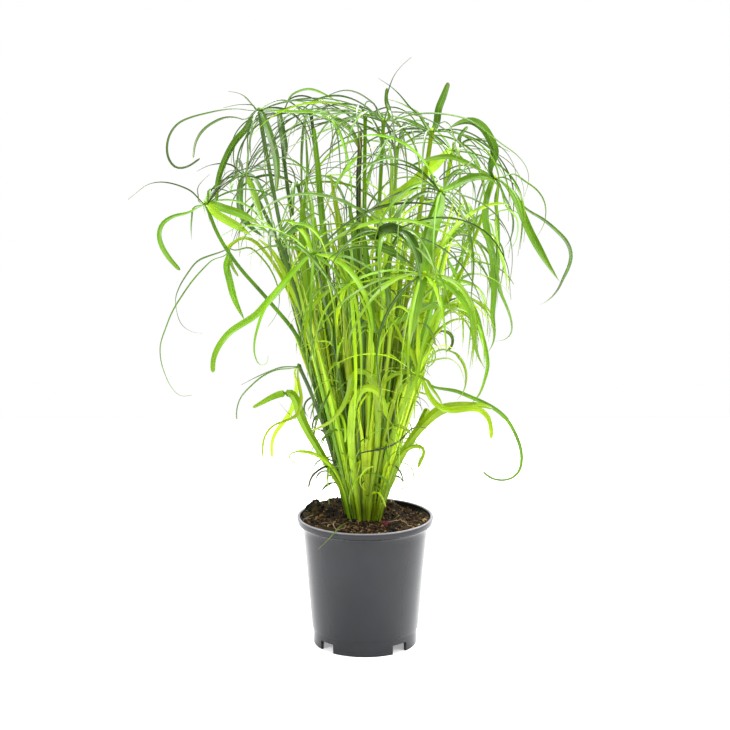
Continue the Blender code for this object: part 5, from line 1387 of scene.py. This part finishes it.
def ramp(tree, factor, stops):
    """A colour ramp node with stops of (place, linear colour or hex code)."""
    made = node(tree, "ValToRGB", Fac=factor)
    while len(made.color_ramp.elements) < len(stops):
        made.color_ramp.elements.new(0.5)
    for element, (place, colour) in zip(made.color_ramp.elements, stops):
        element.position = place
        element.color = (*(linear(colour) if isinstance(colour, str) else colour), 1.0)
    return made


def new_material(name):
    """An empty node material, with its tree, its shader and its object coordinates."""
    material = bpy.data.materials.new(name)
    material.use_nodes = True
    tree = material.node_tree
    return material, tree, tree.nodes["Principled BSDF"], node(tree, "TexCoord").outputs["Object"]


def leaf_material(name, colours, gloss, gleam, vein_mm):
    """Waxed live sedge blade: satin, with fine lengthwise veins, a pale midrib and drying ends.

    The tone attribute gives each blade its place between dark green and lime, and its own shade,
    darkened in the clump's core as painted shade.
    """
    material, tree, shader, place = new_material(name)
    tone = node(tree, "Attribute", {"attribute_name": "tone"})
    parts = node(tree, "SeparateColor", Color=tone)
    patches = node(tree, "TexNoise", Vector=place, Scale=38.0, Detail=3.0)
    shift = node(tree, "Math", {"operation": "MULTIPLY_ADD"}, i0=patches, i1=0.34, i2=-0.17)
    lime = node(tree, "Math", {"operation": "ADD", "use_clamp": True}, i0=parts.outputs["Red"], i1=shift)
    base = ramp(tree, lime, list(zip(LIME_STEPS, colours)))
    uv = node(tree, "UVMap", {"uv_map": "blade"})
    axes = node(tree, "SeparateXYZ", Vector=uv)
    turns = 2 * math.pi / UV_MM / vein_mm
    wave = node(tree, "Math", {"operation": "MULTIPLY"}, i0=axes.outputs["X"], i1=turns)
    veins = node(tree, "Math", {"operation": "COSINE"}, i0=wave)
    vein_shade = node(tree, "Math", {"operation": "MULTIPLY_ADD"}, i0=veins, i1=0.025, i2=1.0)
    # The tone's green holds each blade's own shade together with the painted shade of the clump's core.
    own = node(tree, "Math", {"operation": "MULTIPLY_ADD"}, i0=parts.outputs["Green"], i1=1.20, i2=0.15)
    shade = node(tree, "Math", {"operation": "MULTIPLY"}, i0=vein_shade, i1=own)
    shaded = node(tree, "VectorMath", {"operation": "SCALE"}, i0=base, Scale=shade)
    middle = node(tree, "Math", {"operation": "ABSOLUTE"}, i0=axes.outputs["X"])
    rib = node(tree, "MapRange", {"interpolation_type": "SMOOTHSTEP"}, Value=middle, From_Min=0.001,
               From_Max=0.004, To_Min=0.15, To_Max=0.0)
    ribbed = node(tree, "Mix", {"data_type": "RGBA"}, i0=rib, i6=shaded, i7=(*colours[5], 1.0))
    dry_from = node(tree, "MapRange", Value=parts.outputs["Blue"], From_Min=0.72, From_Max=1.0)
    dry = node(tree, "Math", {"operation": "MULTIPLY"}, i0=dry_from, i1=tone.outputs["Alpha"])
    full = node(tree, "Mix", {"data_type": "RGBA"}, i0=dry, i6=ribbed.outputs[2], i7=(*colours[6], 1.0))
    rough = node(tree, "MapRange", Value=patches, From_Min=0.3, From_Max=0.7, To_Min=gloss,
                 To_Max=gloss + 0.12)
    bump = node(tree, "Bump", Strength=0.2, Distance=0.00001, Height=veins)
    connect(tree, shader, Base_Color=full.outputs[2], Roughness=rough, IOR=1.45, Specular_IOR_Level=gleam,
            Normal=bump)
    return material


def pot_material(colour):
    """Moulded polypropylene: satin anthracite, with fine grain, faint scuffs and a painted highlight
    paling the lip's top.
    """
    material, tree, shader, place = new_material("satin_polypropylene")
    cloud = node(tree, "TexNoise", Vector=place, Scale=22.0, Detail=4.0)
    dim, bright = (tuple(c * share for c in colour) for share in CLOUD_SHADES)
    base = ramp(tree, cloud, [(0.3, dim), (0.7, bright)])
    scuffs = node(tree, "TexVoronoi", Vector=place, Scale=55.0)
    scuff = node(tree, "MapRange", Value=scuffs, From_Min=0.02, From_Max=0.10, To_Min=0.7, To_Max=0.0)
    rare = node(tree, "TexNoise", Vector=place, Scale=31.0, Detail=1.0)
    gate = node(tree, "MapRange", Value=rare, From_Min=0.57, From_Max=0.65)
    mark = node(tree, "Math", {"operation": "MULTIPLY"}, i0=scuff, i1=gate)
    full = node(tree, "Mix", {"data_type": "RGBA"}, i0=mark, i6=base, i7=SCUFF_GREY)
    height = node(tree, "SeparateXYZ", Vector=place)
    # Painted highlight: the top of the lip is mixed towards pale grey.
    lip_highlight = node(tree, "MapRange", Value=height.outputs["Z"], From_Min=(POT_H - 1.3) * MM,
                From_Max=(POT_H - 0.2) * MM, To_Min=0.0, To_Max=0.55)
    highlighted_lip = node(tree, "Mix", {"data_type": "RGBA"}, i0=lip_highlight, i6=full.outputs[2], i7=LIP_HIGHLIGHT_GREY)
    rough = node(tree, "MapRange", Value=cloud, From_Min=0.3, From_Max=0.7, To_Min=0.17, To_Max=0.26)
    grain = node(tree, "TexNoise", Vector=place, Scale=1400.0, Detail=2.0)
    bump = node(tree, "Bump", Strength=0.12, Distance=0.0001, Height=grain)
    connect(tree, shader, Base_Color=highlighted_lip.outputs[2], Roughness=rough, IOR=1.46,
            Specular_IOR_Level=0.33, Normal=bump)
    return material


def peat_material(dark):
    """Moist milled peat: matt, nearly black between the crumbs, with reddish bark and pale grains.

    The tone attribute says where moss has greened it, and where painted shade of the plant darkens and
    greens its left side.
    """
    material, tree, shader, place = new_material("milled_peat")
    crumbs = node(tree, "TexNoise", Vector=place, Scale=260.0, Detail=5.0)
    wide = node(tree, "TexNoise", Vector=place, Scale=60.0, Detail=3.0)
    base = ramp(tree, crumbs, [(0.3, dark), *PEAT_BROWNS])
    tone = node(tree, "Attribute", {"attribute_name": "tone"})
    parts = node(tree, "SeparateColor", Color=tone)
    # Moss and the plant's painted shade both green the peat here.
    moss_and_shade = node(tree, "Math", {"operation": "MULTIPLY"}, i0=parts.outputs["Red"], i1=0.55)
    mossed_and_shaded = node(tree, "Mix", {"data_type": "RGBA"}, i0=moss_and_shade, i6=base, i7=(*linear(MOSS_AND_SHADE_GREEN), 1.0))
    shade = node(tree, "MapRange", Value=wide, From_Min=0.35, From_Max=0.65, To_Min=0.12, To_Max=1.25)
    full = node(tree, "VectorMath", {"operation": "SCALE"}, i0=mossed_and_shaded.outputs[2], Scale=shade)
    bump = node(tree, "Bump", Strength=0.8, Distance=0.0008, Height=crumbs)
    connect(tree, shader, Base_Color=full, Roughness=0.95, Specular_IOR_Level=0.15, Normal=bump)
    return material


def crumb_material():
    """Broken peat, bark and fired clay grains: matt, each grain with its own brown, a few dark red."""
    material, tree, shader, place = new_material("peat_grains")
    tone = node(tree, "Attribute", {"attribute_name": "tone"})
    parts = node(tree, "SeparateColor", Color=tone)
    spots = node(tree, "TexNoise", Vector=place, Scale=500.0, Detail=3.0)
    base = ramp(tree, parts.outputs["Red"], GRAIN_BROWNS)
    shade = node(tree, "MapRange", Value=spots, From_Min=0.3, From_Max=0.7, To_Min=0.6, To_Max=1.3)
    bark = node(tree, "Mix", {"data_type": "RGBA"}, i0=parts.outputs["Blue"], i6=base,
                i7=(*linear(BARK_RED), 1.0))
    full = node(tree, "VectorMath", {"operation": "SCALE"}, i0=bark.outputs[2], Scale=shade)
    bump = node(tree, "Bump", Strength=0.6, Distance=0.0004, Height=spots)
    connect(tree, shader, Base_Color=full, Roughness=0.9, Specular_IOR_Level=0.2, Normal=bump)
    return material


def fibre_material():
    """Dead root fibre: pale straw to dark brown, matt, darker in places where it is damp."""
    material, tree, shader, place = new_material("root_fibre")
    tone = node(tree, "Attribute", {"attribute_name": "tone"})
    parts = node(tree, "SeparateColor", Color=tone)
    damp = node(tree, "TexNoise", Vector=place, Scale=180.0)
    shift = node(tree, "Math", {"operation": "MULTIPLY_ADD"}, i0=damp, i1=0.4, i2=-0.2)
    place_in = node(tree, "Math", {"operation": "ADD", "use_clamp": True}, i0=parts.outputs["Red"],
                    i1=shift)
    base = ramp(tree, place_in, FIBRE_BROWNS)
    connect(tree, shader, Base_Color=base, Roughness=0.8)
    return material


# Pot

FINE_SIDES = 144
NOTCH_POINTS = 5
LIP_ROUND = 1.1


def pot_profile():
    """Outline of the pot's wall as (radius, height), foot to lip outside, and back down inside."""
    lip = [(RIM_R - LIP_ROUND + LIP_ROUND * math.sin(t), POT_H - LIP_ROUND + LIP_ROUND * math.cos(t))
           for t in np.linspace(math.pi / 2, 0, 6)]
    inner_lip = [(LIP_INNER_R + LIP_ROUND - LIP_ROUND * math.sin(t),
                  POT_H - LIP_ROUND + LIP_ROUND * math.cos(t)) for t in np.linspace(0, math.pi / 2, 6)]
    outer = [(FOOT_INNER_R, 0.3), (FOOT_INNER_R + 0.4, 0.0), (FOOT_R - 0.5, 0.0), (FOOT_R, 0.4),
             (FOOT_R + 0.2, NOTCH_H), (FOOT_R + 0.38, STEP_Z - 0.8), (FOOT_R + 0.5, STEP_Z - 0.1),
             (STEP_R - 0.35, STEP_Z + 0.35), (STEP_R, STEP_Z + 1.2),
             (WALL_TOP_R - 0.3, WALL_TOP_Z - 4), (WALL_TOP_R, WALL_TOP_Z),
             (WALL_TOP_R + 0.9, WALL_TOP_Z + 2.0), (WALL_TOP_R + 2.4, WALL_TOP_Z + 3.2),
             (RIM_R - 1.2, POT_H - 6.3), (RIM_R - 0.3, POT_H - 5.8), (RIM_R, POT_H - 5.0)]
    inside = [(LIP_INNER_R, POT_H - 2.2), (LIP_INNER_R - 0.8, POT_H - 4.2),
              (WALL_TOP_R - WALL, WALL_TOP_Z - 1.0), (STEP_R - WALL, STEP_Z + 1.2),
              (FOOT_INNER_R + 1.2, FLOOR_TOP_Z)]
    return outer + lip + inner_lip + inside


def pot_shape():
    """The pot: its profile turned about the axis, a raised floor, and notches cut in the foot ring."""
    ring = np.array([(FOOT_INNER_R - 0.4, NOTCH_H)] + pot_profile())
    count = len(ring)
    angle = POT_TURN + 2 * math.pi * np.arange(FINE_SIDES) / FINE_SIDES
    points = np.stack([ring[:, 0] * np.cos(angle)[:, None], ring[:, 0] * np.sin(angle)[:, None],
                       np.broadcast_to(ring[:, 1], (FINE_SIDES, count))], axis=-1).reshape(-1, 3)
    points = np.concatenate([points, [(0, 0, FLOOR_TOP_Z), (0, 0, FLOOR_UNDER_Z)]])
    top, below = len(points) - 2, len(points) - 1
    per_side = FINE_SIDES // POT_SIDES
    number = np.arange(FINE_SIDES)
    a = number * count
    b = (number + 1) % FINE_SIDES * count
    phase = (number // per_side - NOTCH_FIRST) % NOTCH_EVERY
    notched = phase < NOTCH_SPAN
    k = np.arange(count - 1)
    quads = np.stack([a[:, None] + k, b[:, None] + k, b[:, None] + k + 1, a[:, None] + k + 1], axis=-1)
    kept = ~(notched[:, None] & (k < NOTCH_POINTS))
    roofs = np.stack([a, b, b + NOTCH_POINTS, a + NOTCH_POINTS], axis=-1)[notched]
    floor = np.stack([np.full(FINE_SIDES, top), a + count - 1, b + count - 1], axis=-1)
    under = np.stack([np.full(FINE_SIDES, below), b, a], axis=-1)
    cap = np.arange(NOTCH_POINTS + 1)
    first = notched & (phase == 0) & (number % per_side == 0)
    last = notched & (phase == NOTCH_SPAN - 1) & (number % per_side == per_side - 1)
    caps = np.concatenate([a[first][:, None] + cap[::-1], b[last][:, None] + cap])
    groups = [quads[kept], roofs, floor, under, caps]
    corners = np.concatenate([group.ravel() for group in groups])
    sizes = np.concatenate([np.full(len(group), group.shape[1]) for group in groups])
    return points, np.zeros((len(points), 4)), points[:, :2] * UV_MM, corners, sizes


# Peat

PEAT_RINGS = 72
PEAT_SIDES = 216
# Lumps of the peat's top: size, height and seed
LUMPS = ((13.0, 1.2, 1), (5.5, 1.3, 2), (2.6, 0.9, 3), (1.4, 0.45, 4))
ROOT_ROWS = 10


def value_noise(x, y, size, seed):
    """Smooth noise from -1 to 1: random values on a square grid, blended by a smoothstep."""
    values = np.random.default_rng(seed).uniform(-1, 1, (64, 64))
    u, v = x / size + 32.37, y / size + 31.71
    i, j = np.floor(u).astype(int), np.floor(v).astype(int)
    s, t = u - i, v - j
    s, t = smoothstep(s), smoothstep(t)
    i, j = i % 63, j % 63
    near = values[i, j] * (1 - s) + values[i + 1, j] * s
    far = values[i, j + 1] * (1 - s) + values[i + 1, j + 1] * s
    return near * (1 - t) + far * t


def soil_level(x, y):
    """Height of the peat's fine top: edge to mound, its heaps, and four sizes of crumb."""
    far = np.hypot(x, y)
    mound = np.hypot(x, y - MOUND_Y)
    level = np.interp(far, [0, SOIL_MID_R, SOIL_EDGE_R], [MOUND_Z, SOIL_MID_Z, SOIL_EDGE_Z])
    level = np.where(mound < MOUND_R, MOUND_Z, level) + 0.6
    for far_x, far_y, high, wide in SOIL_HEAPS:
        level = level + high * np.exp(-((x - far_x) ** 2 + (y - far_y) ** 2) / wide ** 2)
    for size, tall, seed in LUMPS:
        level = level + tall * value_noise(x, y, size, seed)
    return level


def soil_shape():
    """The peat's body: a disc of rings whose height is the soil's level, and a plain side and floor."""
    share = (np.arange(PEAT_RINGS) + 1) / PEAT_RINGS
    radius = (SOIL_EDGE_R + 1.0) * share ** 0.8
    angle = 2 * math.pi * np.arange(PEAT_SIDES) / PEAT_SIDES
    x = radius[:, None] * np.cos(angle)
    y = radius[:, None] * np.sin(angle)
    z = soil_level(x, y)
    wall = np.interp(z, (WALL_TOP_Z - 1.0, POT_H - 1.8), (WALL_TOP_R - WALL, LIP_INNER_R)) - 0.35
    pulled = np.minimum(radius[:, None], wall) / radius[:, None]
    x, y = x * pulled, y * pulled
    low = [(WALL_TOP_R - WALL - 0.9, WALL_TOP_Z - 1.0), (STEP_R - WALL - 0.6, STEP_Z + 3),
           (FOOT_INNER_R + 0.3, FLOOR_TOP_Z + SOIL_GAP)]
    side = np.array([[(r * math.cos(a), r * math.sin(a), h) for a in angle] for r, h in low])
    grid = np.concatenate([side[::-1], np.stack([x, y, z], axis=-1)[::-1]])
    moss_and_shade = np.zeros(grid.shape[:2])
    for far_x, far_y, _, wide in SOIL_HEAPS[:3]:
        moss_and_shade += np.exp(-((grid[..., 0] - far_x) ** 2 + (grid[..., 1] - far_y) ** 2) / wide ** 2)
    # Painted shade: the side left of the clump, shaded by the plant, is darkened and greened like the
    # moss.
    left = np.clip(-(grid[..., 0] + 12) / 25, 0, 1)
    moss_and_shade = np.clip(moss_and_shade + 0.8 * left, 0, 1)
    tone = np.stack([moss_and_shade, moss_and_shade * 0, moss_and_shade * 0, moss_and_shade * 0 + 1], axis=-1)
    return joined([(grid, tone, grid[..., :2] * UV_MM)])


# Where the dark red bark lies, as x, y and radius
RED_BARK = (19.7, -16.6, 3.2)
# Roots that the photograph shows on the peat: radius, how pale, how high they arch, and points
DRAWN_ROOTS = [
    (0.40, 0.85, 3.0, [(-26, -10), (-29, -20), (-30, -32), (-28, -44), (-24, -50), (-20, -44),
     (-18, -30)]),
    (0.30, 0.70, 4.0, [(-14, -36), (-20, -40), (-28, -38), (-37, -32), (-44, -30)]),
    (0.28, 0.95, 2.5, [(22, -12), (30, -16), (37, -24), (44, -26)]),
]


def crumbs_shape(count, rng):
    """Loose crumbs on the peat: low lumps of two rings and two ends, squashed and turned at random."""
    far = SOIL_EDGE_R * 0.985 * np.sqrt(rng.random(count))
    way = rng.uniform(0, 2 * math.pi, count)
    x, y = far * np.cos(way), far * np.sin(way)
    size = (0.4 + 1.2 * rng.random(count) ** 2.4) * np.where(rng.random(count) < 0.06, 1.9, 1.0)
    red = 0.9 * (np.hypot(x - RED_BARK[0], y - RED_BARK[1]) < RED_BARK[2])
    size = np.where(red > 0, np.maximum(size, 1.9), size)
    angle = 2 * math.pi * np.arange(5) / 5
    widths = np.array([0.35, 0.95, 0.9, 0.3])[:, None] * rng.uniform(0.75, 1.2, (count, 4, 5))
    stretch = rng.uniform(0.6, 1.4, (count, 3)) * size[:, None]
    body = np.stack([widths * np.cos(angle) * stretch[:, 0, None, None],
                     widths * np.sin(angle) * stretch[:, 1, None, None],
                     np.array([-0.63, -0.25, 0.25, 0.63])[:, None] * stretch[:, 2, None, None]
                     + 0 * widths], axis=-1)
    spin, tilt = rng.uniform(0, 2 * math.pi, count), rng.normal(0, 0.7, count)
    c, s = np.cos(spin), np.sin(spin)
    ct, st = np.cos(tilt), np.sin(tilt)
    turn = np.stack([c, -s * ct, s * st, s, c * ct, -c * st, 0 * c, st, ct], axis=-1).reshape(-1, 3, 3)
    body = np.einsum("cij,crkj->crki", turn, body)
    body += np.stack([x, y, soil_level(x, y) + size * 0.25], axis=-1)[:, None, None]
    tone = np.ones((count, 4, 5, 4)) * np.stack([rng.random(count), rng.random(count), red, 0 * x + 1],
                                                axis=-1)[:, None, None]
    return joined(list(zip(body, tone, body[..., :2] * UV_MM)))


def fibres_shape(count, rng):
    """Root fibres lying on the peat: some drawn, the rest thin three-sided threads, curled at random."""
    surfaces = []
    for radius, pale, arch, points in DRAWN_ROOTS:
        flat = smooth([(x, y, 0.0) for x, y in points], 30)
        flat[:, 2] = (soil_level(flat[:, 0], flat[:, 1]) + 0.4
                      + arch * np.sin(np.linspace(0, math.pi, len(flat))))
        surfaces.append(tube_surface(flat, radius, 0.0, (pale, 1.0, 0.0, 0.0), 0.0, ring=5))
    for _ in range(count):
        r = SOIL_EDGE_R * 0.9 * math.sqrt(rng.random())
        a = rng.uniform(0, 2 * math.pi)
        start = np.array([r * math.cos(a), r * math.sin(a)])
        length = rng.uniform(6, 26)
        heading = rng.uniform(0, 2 * math.pi) + np.cumsum(rng.normal(0, 0.42, ROOT_ROWS))
        steps = length / ROOT_ROWS * np.stack([np.cos(heading), np.sin(heading)], -1)
        flat = start + np.cumsum(steps, axis=0)
        far = np.hypot(flat[:, 0], flat[:, 1])
        flat = flat * np.minimum(1, SOIL_EDGE_R * 0.98 / far)[:, None]
        arch = rng.uniform(0.2, 2.2) * np.sin(np.linspace(0, math.pi, ROOT_ROWS))
        path = np.column_stack([flat, soil_level(flat[:, 0], flat[:, 1]) + 0.3 + arch])
        path[1:-1] = (path[:-2] + 2 * path[1:-1] + path[2:]) / 4
        radius = rng.uniform(0.12, 0.3) * np.linspace(1, 0.5, ROOT_ROWS)
        tone = (rng.random(), rng.random(), 0.0, 0.0)
        surfaces.append(tube_surface(path, radius, 0.0, tone, 0.0, ring=3))
    return joined(surfaces)


# Sizes and colours that a user may change

class SedgeSizes(bpy.types.PropertyGroup):
    """Sizes that the fine surfaces have beyond the solids"""
    leaf_step: FloatProperty(name="Leaf step", description="Distance between rows of points along a leaf",
                             default=0.0038, min=0.001, max=0.02, unit="LENGTH")
    vein_spacing: FloatProperty(name="Vein spacing", description="Distance between a blade's veins",
                                default=0.0009, min=0.0002, max=0.005, unit="LENGTH")
    crumbs: IntProperty(name="Crumbs", description="Loose crumbs that lie on the peat",
                        default=2300, min=0, max=5000)
    fibres: IntProperty(name="Fibres", description="Root fibres that lie on the peat",
                        default=80, min=0, max=500)
    lamp_power: FloatProperty(name="Lamp power", description="Power of the large soft lamp overhead",
                              default=56.0, min=0.0, max=500.0, unit="POWER")


def colour_setting(name, description, code):
    """A colour property whose default is a hex code."""
    return FloatVectorProperty(name=name, description=description, default=linear(code), min=0.0, max=1.0,
                               subtype="COLOR", size=3)


class SedgeColours(bpy.types.PropertyGroup):
    """Colours of the plant, its pot and its peat"""
    thread: colour_setting("Thread", "The thinnest leaves", "#4A5C34")
    deep: colour_setting("Deep green", "Shaded blades and old stems", "#3D5E1E")
    green: colour_setting("Green", "Most leaves at the top of the plant", "#679614")
    fresh: colour_setting("Fresh green", "Younger leaves", "#8EB40E")
    lime: colour_setting("Lime", "Young blades low in the clump", "#B6D21A")
    midrib: colour_setting("Midrib", "The pale line along a blade", "#C2D878")
    dry: colour_setting("Dry", "The withered end of a leaf", "#9A8A4A")
    pot: colour_setting("Pot", "The pot's plastic", "#1D1E22")
    peat: colour_setting("Peat", "Moist peat", "#1C130C")
    floor: colour_setting("Floor", "The pale floor", "#F4F4F4")


# Roughness and specular level of each kind of blade
STEM_FINISH = (0.28, 0.25)
LEAF_FINISH = (0.24, 0.23)
BLADE_FINISH = (0.30, 0.24)
DRIED_FINISH = (0.5, 0.3)
# Millimetres between veins for each metre of the setting: closer on stems and on a shrunk, dried blade
STEM_VEINS = 900
LEAF_VEINS = 1000
DRIED_VEINS = 600
LEAF_COLOURS = ("thread", "deep", "green", "fresh", "lime", "midrib", "dry")
# Angle past which an edge is sharp, in degrees
POT_SHARP = 32.0
GRAIN_SHARP = 60.0
ALL_SMOOTH = 180.0


def sedge_material(scene, name, finish, veins):
    """A blade's material in the scene's colours, with the finish and the veins of its kind."""
    colours = [tuple(getattr(scene.sedge_colours, key)) for key in LEAF_COLOURS]
    return leaf_material(name, colours, *finish, scene.sedge_sizes.vein_spacing * veins)


# Operators, one for each group of like pieces

class SEDGE_OT_pot(bpy.types.Operator):
    """Turned nursery pot with a rolled lip, a raised floor and a notched foot"""
    bl_idname = "sedge.pot"
    bl_label = "Pot"

    def execute(self, context):
        material = pot_material(tuple(context.scene.sedge_colours.pot))
        make_piece("nursery_pot", pot_shape(), material, "pot", ("pot",), POT_SHARP)
        return {"FINISHED"}


class SEDGE_OT_peat(bpy.types.Operator):
    """Rough peat with its loose crumbs, chips and root fibres"""
    bl_idname = "sedge.peat"
    bl_label = "Peat"

    def execute(self, context):
        sizes = context.scene.sedge_sizes
        dark = tuple(context.scene.sedge_colours.peat)
        rng = np.random.default_rng(71)
        make_piece("peat_top", soil_shape(), peat_material(dark), "soil", ("soil",), ALL_SMOOTH)
        crumbs = crumbs_shape(sizes.crumbs, rng)
        make_piece("peat_crumbs", crumbs, crumb_material(), "soil", (), GRAIN_SHARP)
        fibres = fibres_shape(sizes.fibres, rng)
        make_piece("peat_fibres", fibres, fibre_material(), "soil", (), ALL_SMOOTH)
        return {"FINISHED"}


class SEDGE_OT_stems(bpy.types.Operator):
    """Three-sided waxy stems from the peat up into each crown"""
    bl_idname = "sedge.stems"
    bl_label = "Stems"

    def execute(self, context):
        material = sedge_material(context.scene, "waxy_sedge_stem", STEM_FINISH, STEM_VEINS)
        for name, stem in plant()["stems"].items():
            make_piece("stem_tube_" + name, joined([stem_surface(stem)]), material, "stem",
                       ("stem_" + name,))
        return {"FINISHED"}


class SEDGE_OT_crowns(bpy.types.Operator):
    """Whorl of long arching leaves at the top of each stem"""
    bl_idname = "sedge.crowns"
    bl_label = "Crowns"

    def execute(self, context):
        material = sedge_material(context.scene, "waxy_sedge_leaf", LEAF_FINISH, LEAF_VEINS)
        step = context.scene.sedge_sizes.leaf_step / MM
        grown_plant = plant()
        for name, leaves in grown_plant["crowns"].items():
            stem = grown_plant["stems"][name]
            surfaces = [blade_surface(from_knob(leaf, stem["crown"], stem["axis"]), step)
                        for leaf in leaves]
            surfaces.append(knob_surface(stem))
            make_piece("crown_leaves_" + name, joined(surfaces), material, "crown_leaf",
                       ("crown_" + name,))
        return {"FINISHED"}


class SEDGE_OT_blades(bpy.types.Operator):
    """Broad blades that rise from the clump's foot, and the young ones between the stems"""
    bl_idname = "sedge.blades"
    bl_label = "Blades"

    def execute(self, context):
        material = sedge_material(context.scene, "young_sedge_blade", BLADE_FINISH, LEAF_VEINS)
        dried = sedge_material(context.scene, "dried_sedge_blade", DRIED_FINISH, DRIED_VEINS)
        step = context.scene.sedge_sizes.leaf_step / MM
        grown_plant = plant()
        for name, leaf in grown_plant["blades"].items():
            kind = (dried, "dried_leaf") if name == "dried" else (material, "base_leaf")
            make_piece("blade_" + name, joined([blade_surface(leaf, step)]), *kind,
                       ("base_leaf_" + name,))
        inner = [blade_surface(leaf, step * 1.3) for leaf in grown_plant["inner"]]
        half = len(inner) // 2
        make_piece("inner_blades_front", joined(inner[:half]), material, "base_leaf")
        make_piece("inner_blades_back", joined(inner[half:]), material, "base_leaf")
        curls = [blade_surface(leaf, step) for leaf in grown_plant["curls"]]
        make_piece("side_curls", joined(curls), material, "base_leaf")
        return {"FINISHED"}


def lamp(name, size, power, place):
    """A soft square lamp that points at the middle of the plant."""
    data = bpy.data.lights.new(name, "AREA")
    data.size = size
    data.energy = power
    made = bpy.data.objects.new(name, data)
    made.location = place
    way = Vector(LAMP_AIM) - Vector(place)
    made.rotation_euler = way.to_track_quat("-Z", "Y").to_euler()
    bpy.context.scene.collection.objects.link(made)


def studio_world():
    """Soft white room: bright behind the plant and overhead, grey in front."""
    world = bpy.data.worlds.new("studio")
    world.use_nodes = True
    tree = world.node_tree
    place = node(tree, "TexCoord")
    axes = node(tree, "SeparateXYZ", Vector=place)
    angle = node(tree, "Math", {"operation": "ARCTAN2"}, i0=axes.outputs["X"], i1=axes.outputs["Y"])
    share = node(tree, "MapRange", Value=angle, From_Min=-math.pi, From_Max=math.pi)
    walls = ramp(tree, share, [(0.5 + degrees / 360, colour) for degrees, colour in WALLS])
    high = node(tree, "MapRange", Value=axes.outputs["Z"], From_Min=0.35, From_Max=0.8)
    room = node(tree, "Mix", {"data_type": "RGBA"}, i0=high, i6=walls, i7=(*CEILING, 1.0))
    path = node(tree, "LightPath")
    white = node(tree, "Mix", {"data_type": "RGBA"}, i0=path, i6=room.outputs[2], i7=(1.0, 1.0, 1.0, 1.0))
    connect(tree, tree.nodes["Background"], Color=white.outputs[2])
    return world


class SEDGE_OT_studio(bpy.types.Operator):
    """Pale floor, soft lamps and the camera"""
    bl_idname = "sedge.studio"
    bl_label = "Studio"

    def execute(self, context):
        scene = context.scene
        material, tree, shader, place = new_material("light_table_acrylic")
        grain = node(tree, "TexNoise", Vector=place, Scale=3.0)
        pale = tuple(scene.sedge_colours.floor)
        tint = ramp(tree, grain, [(0.0, tuple(c * 0.99 for c in pale)), (1.0, pale)])
        connect(tree, shader, Base_Color=tint, Roughness=0.9,
                Emission_Color=(1.0, 1.0, 1.0, 1.0), Emission_Strength=TABLE_GLOW)
        mesh = bpy.data.meshes.new("studio_floor")
        mesh.from_pydata([(-FLOOR_HALF, -FLOOR_HALF, 0), (FLOOR_HALF, -FLOOR_HALF, 0),
                          (FLOOR_HALF, FLOOR_HALF, 0), (-FLOOR_HALF, FLOOR_HALF, 0)], [], [(0, 1, 2, 3)])
        mesh.materials.append(material)
        floor = bpy.data.objects.new("studio_floor", mesh)
        scene.collection.objects.link(floor)
        scene.world = studio_world()
        power = scene.sedge_sizes.lamp_power
        for name, size, part, spot in LAMPS:
            lamp(name, size, power * part, spot)
        data = bpy.data.cameras.new("photo_camera")
        data.sensor_width = 36.0
        data.lens = CAMERA_LENS
        data.shift_x = CAMERA_SHIFT
        camera = bpy.data.objects.new("photo_camera", data)
        camera.location = tuple(EYE * MM)
        camera.rotation_euler = (math.radians(90.0 - CAMERA_PITCH), 0.0, 0.0)
        scene.collection.objects.link(camera)
        scene.camera = camera
        scene.view_settings.view_transform = "Standard"
        return {"FINISHED"}


class SEDGE_PT_panel(bpy.types.Panel):
    """Sidebar panel that lists the pieces"""
    bl_idname = "SEDGE_PT_panel"
    bl_label = "Potted Umbrella Sedge"
    bl_space_type = "VIEW_3D"
    bl_region_type = "UI"
    bl_category = "Sedge"

    def draw(self, context):
        layout = self.layout
        for group in (context.scene.sedge_sizes, context.scene.sedge_colours):
            for key in type(group).__annotations__:
                layout.prop(group, key)
        for operator in OPERATORS:
            layout.operator(operator.bl_idname)


OPERATORS = (SEDGE_OT_pot, SEDGE_OT_peat, SEDGE_OT_stems, SEDGE_OT_crowns, SEDGE_OT_blades,
             SEDGE_OT_studio)
CLASSES = (SedgeSizes, SedgeColours, *OPERATORS, SEDGE_PT_panel)


def register():
    """The classes, and the settings of the scene."""
    for cls in CLASSES:
        bpy.utils.register_class(cls)
    bpy.types.Scene.sedge_sizes = PointerProperty(type=SedgeSizes)
    bpy.types.Scene.sedge_colours = PointerProperty(type=SedgeColours)


def unregister():
    """The settings and the classes taken away again."""
    del bpy.types.Scene.sedge_colours
    del bpy.types.Scene.sedge_sizes
    for cls in reversed(CLASSES):
        bpy.utils.unregister_class(cls)


def main():
    """Every piece in turn, and the stage."""
    register()
    bpy.ops.sedge.pot()
    bpy.ops.sedge.peat()
    bpy.ops.sedge.stems()
    bpy.ops.sedge.crowns()
    bpy.ops.sedge.blades()
    bpy.ops.sedge.studio()


if __name__ == "__main__":
    main()
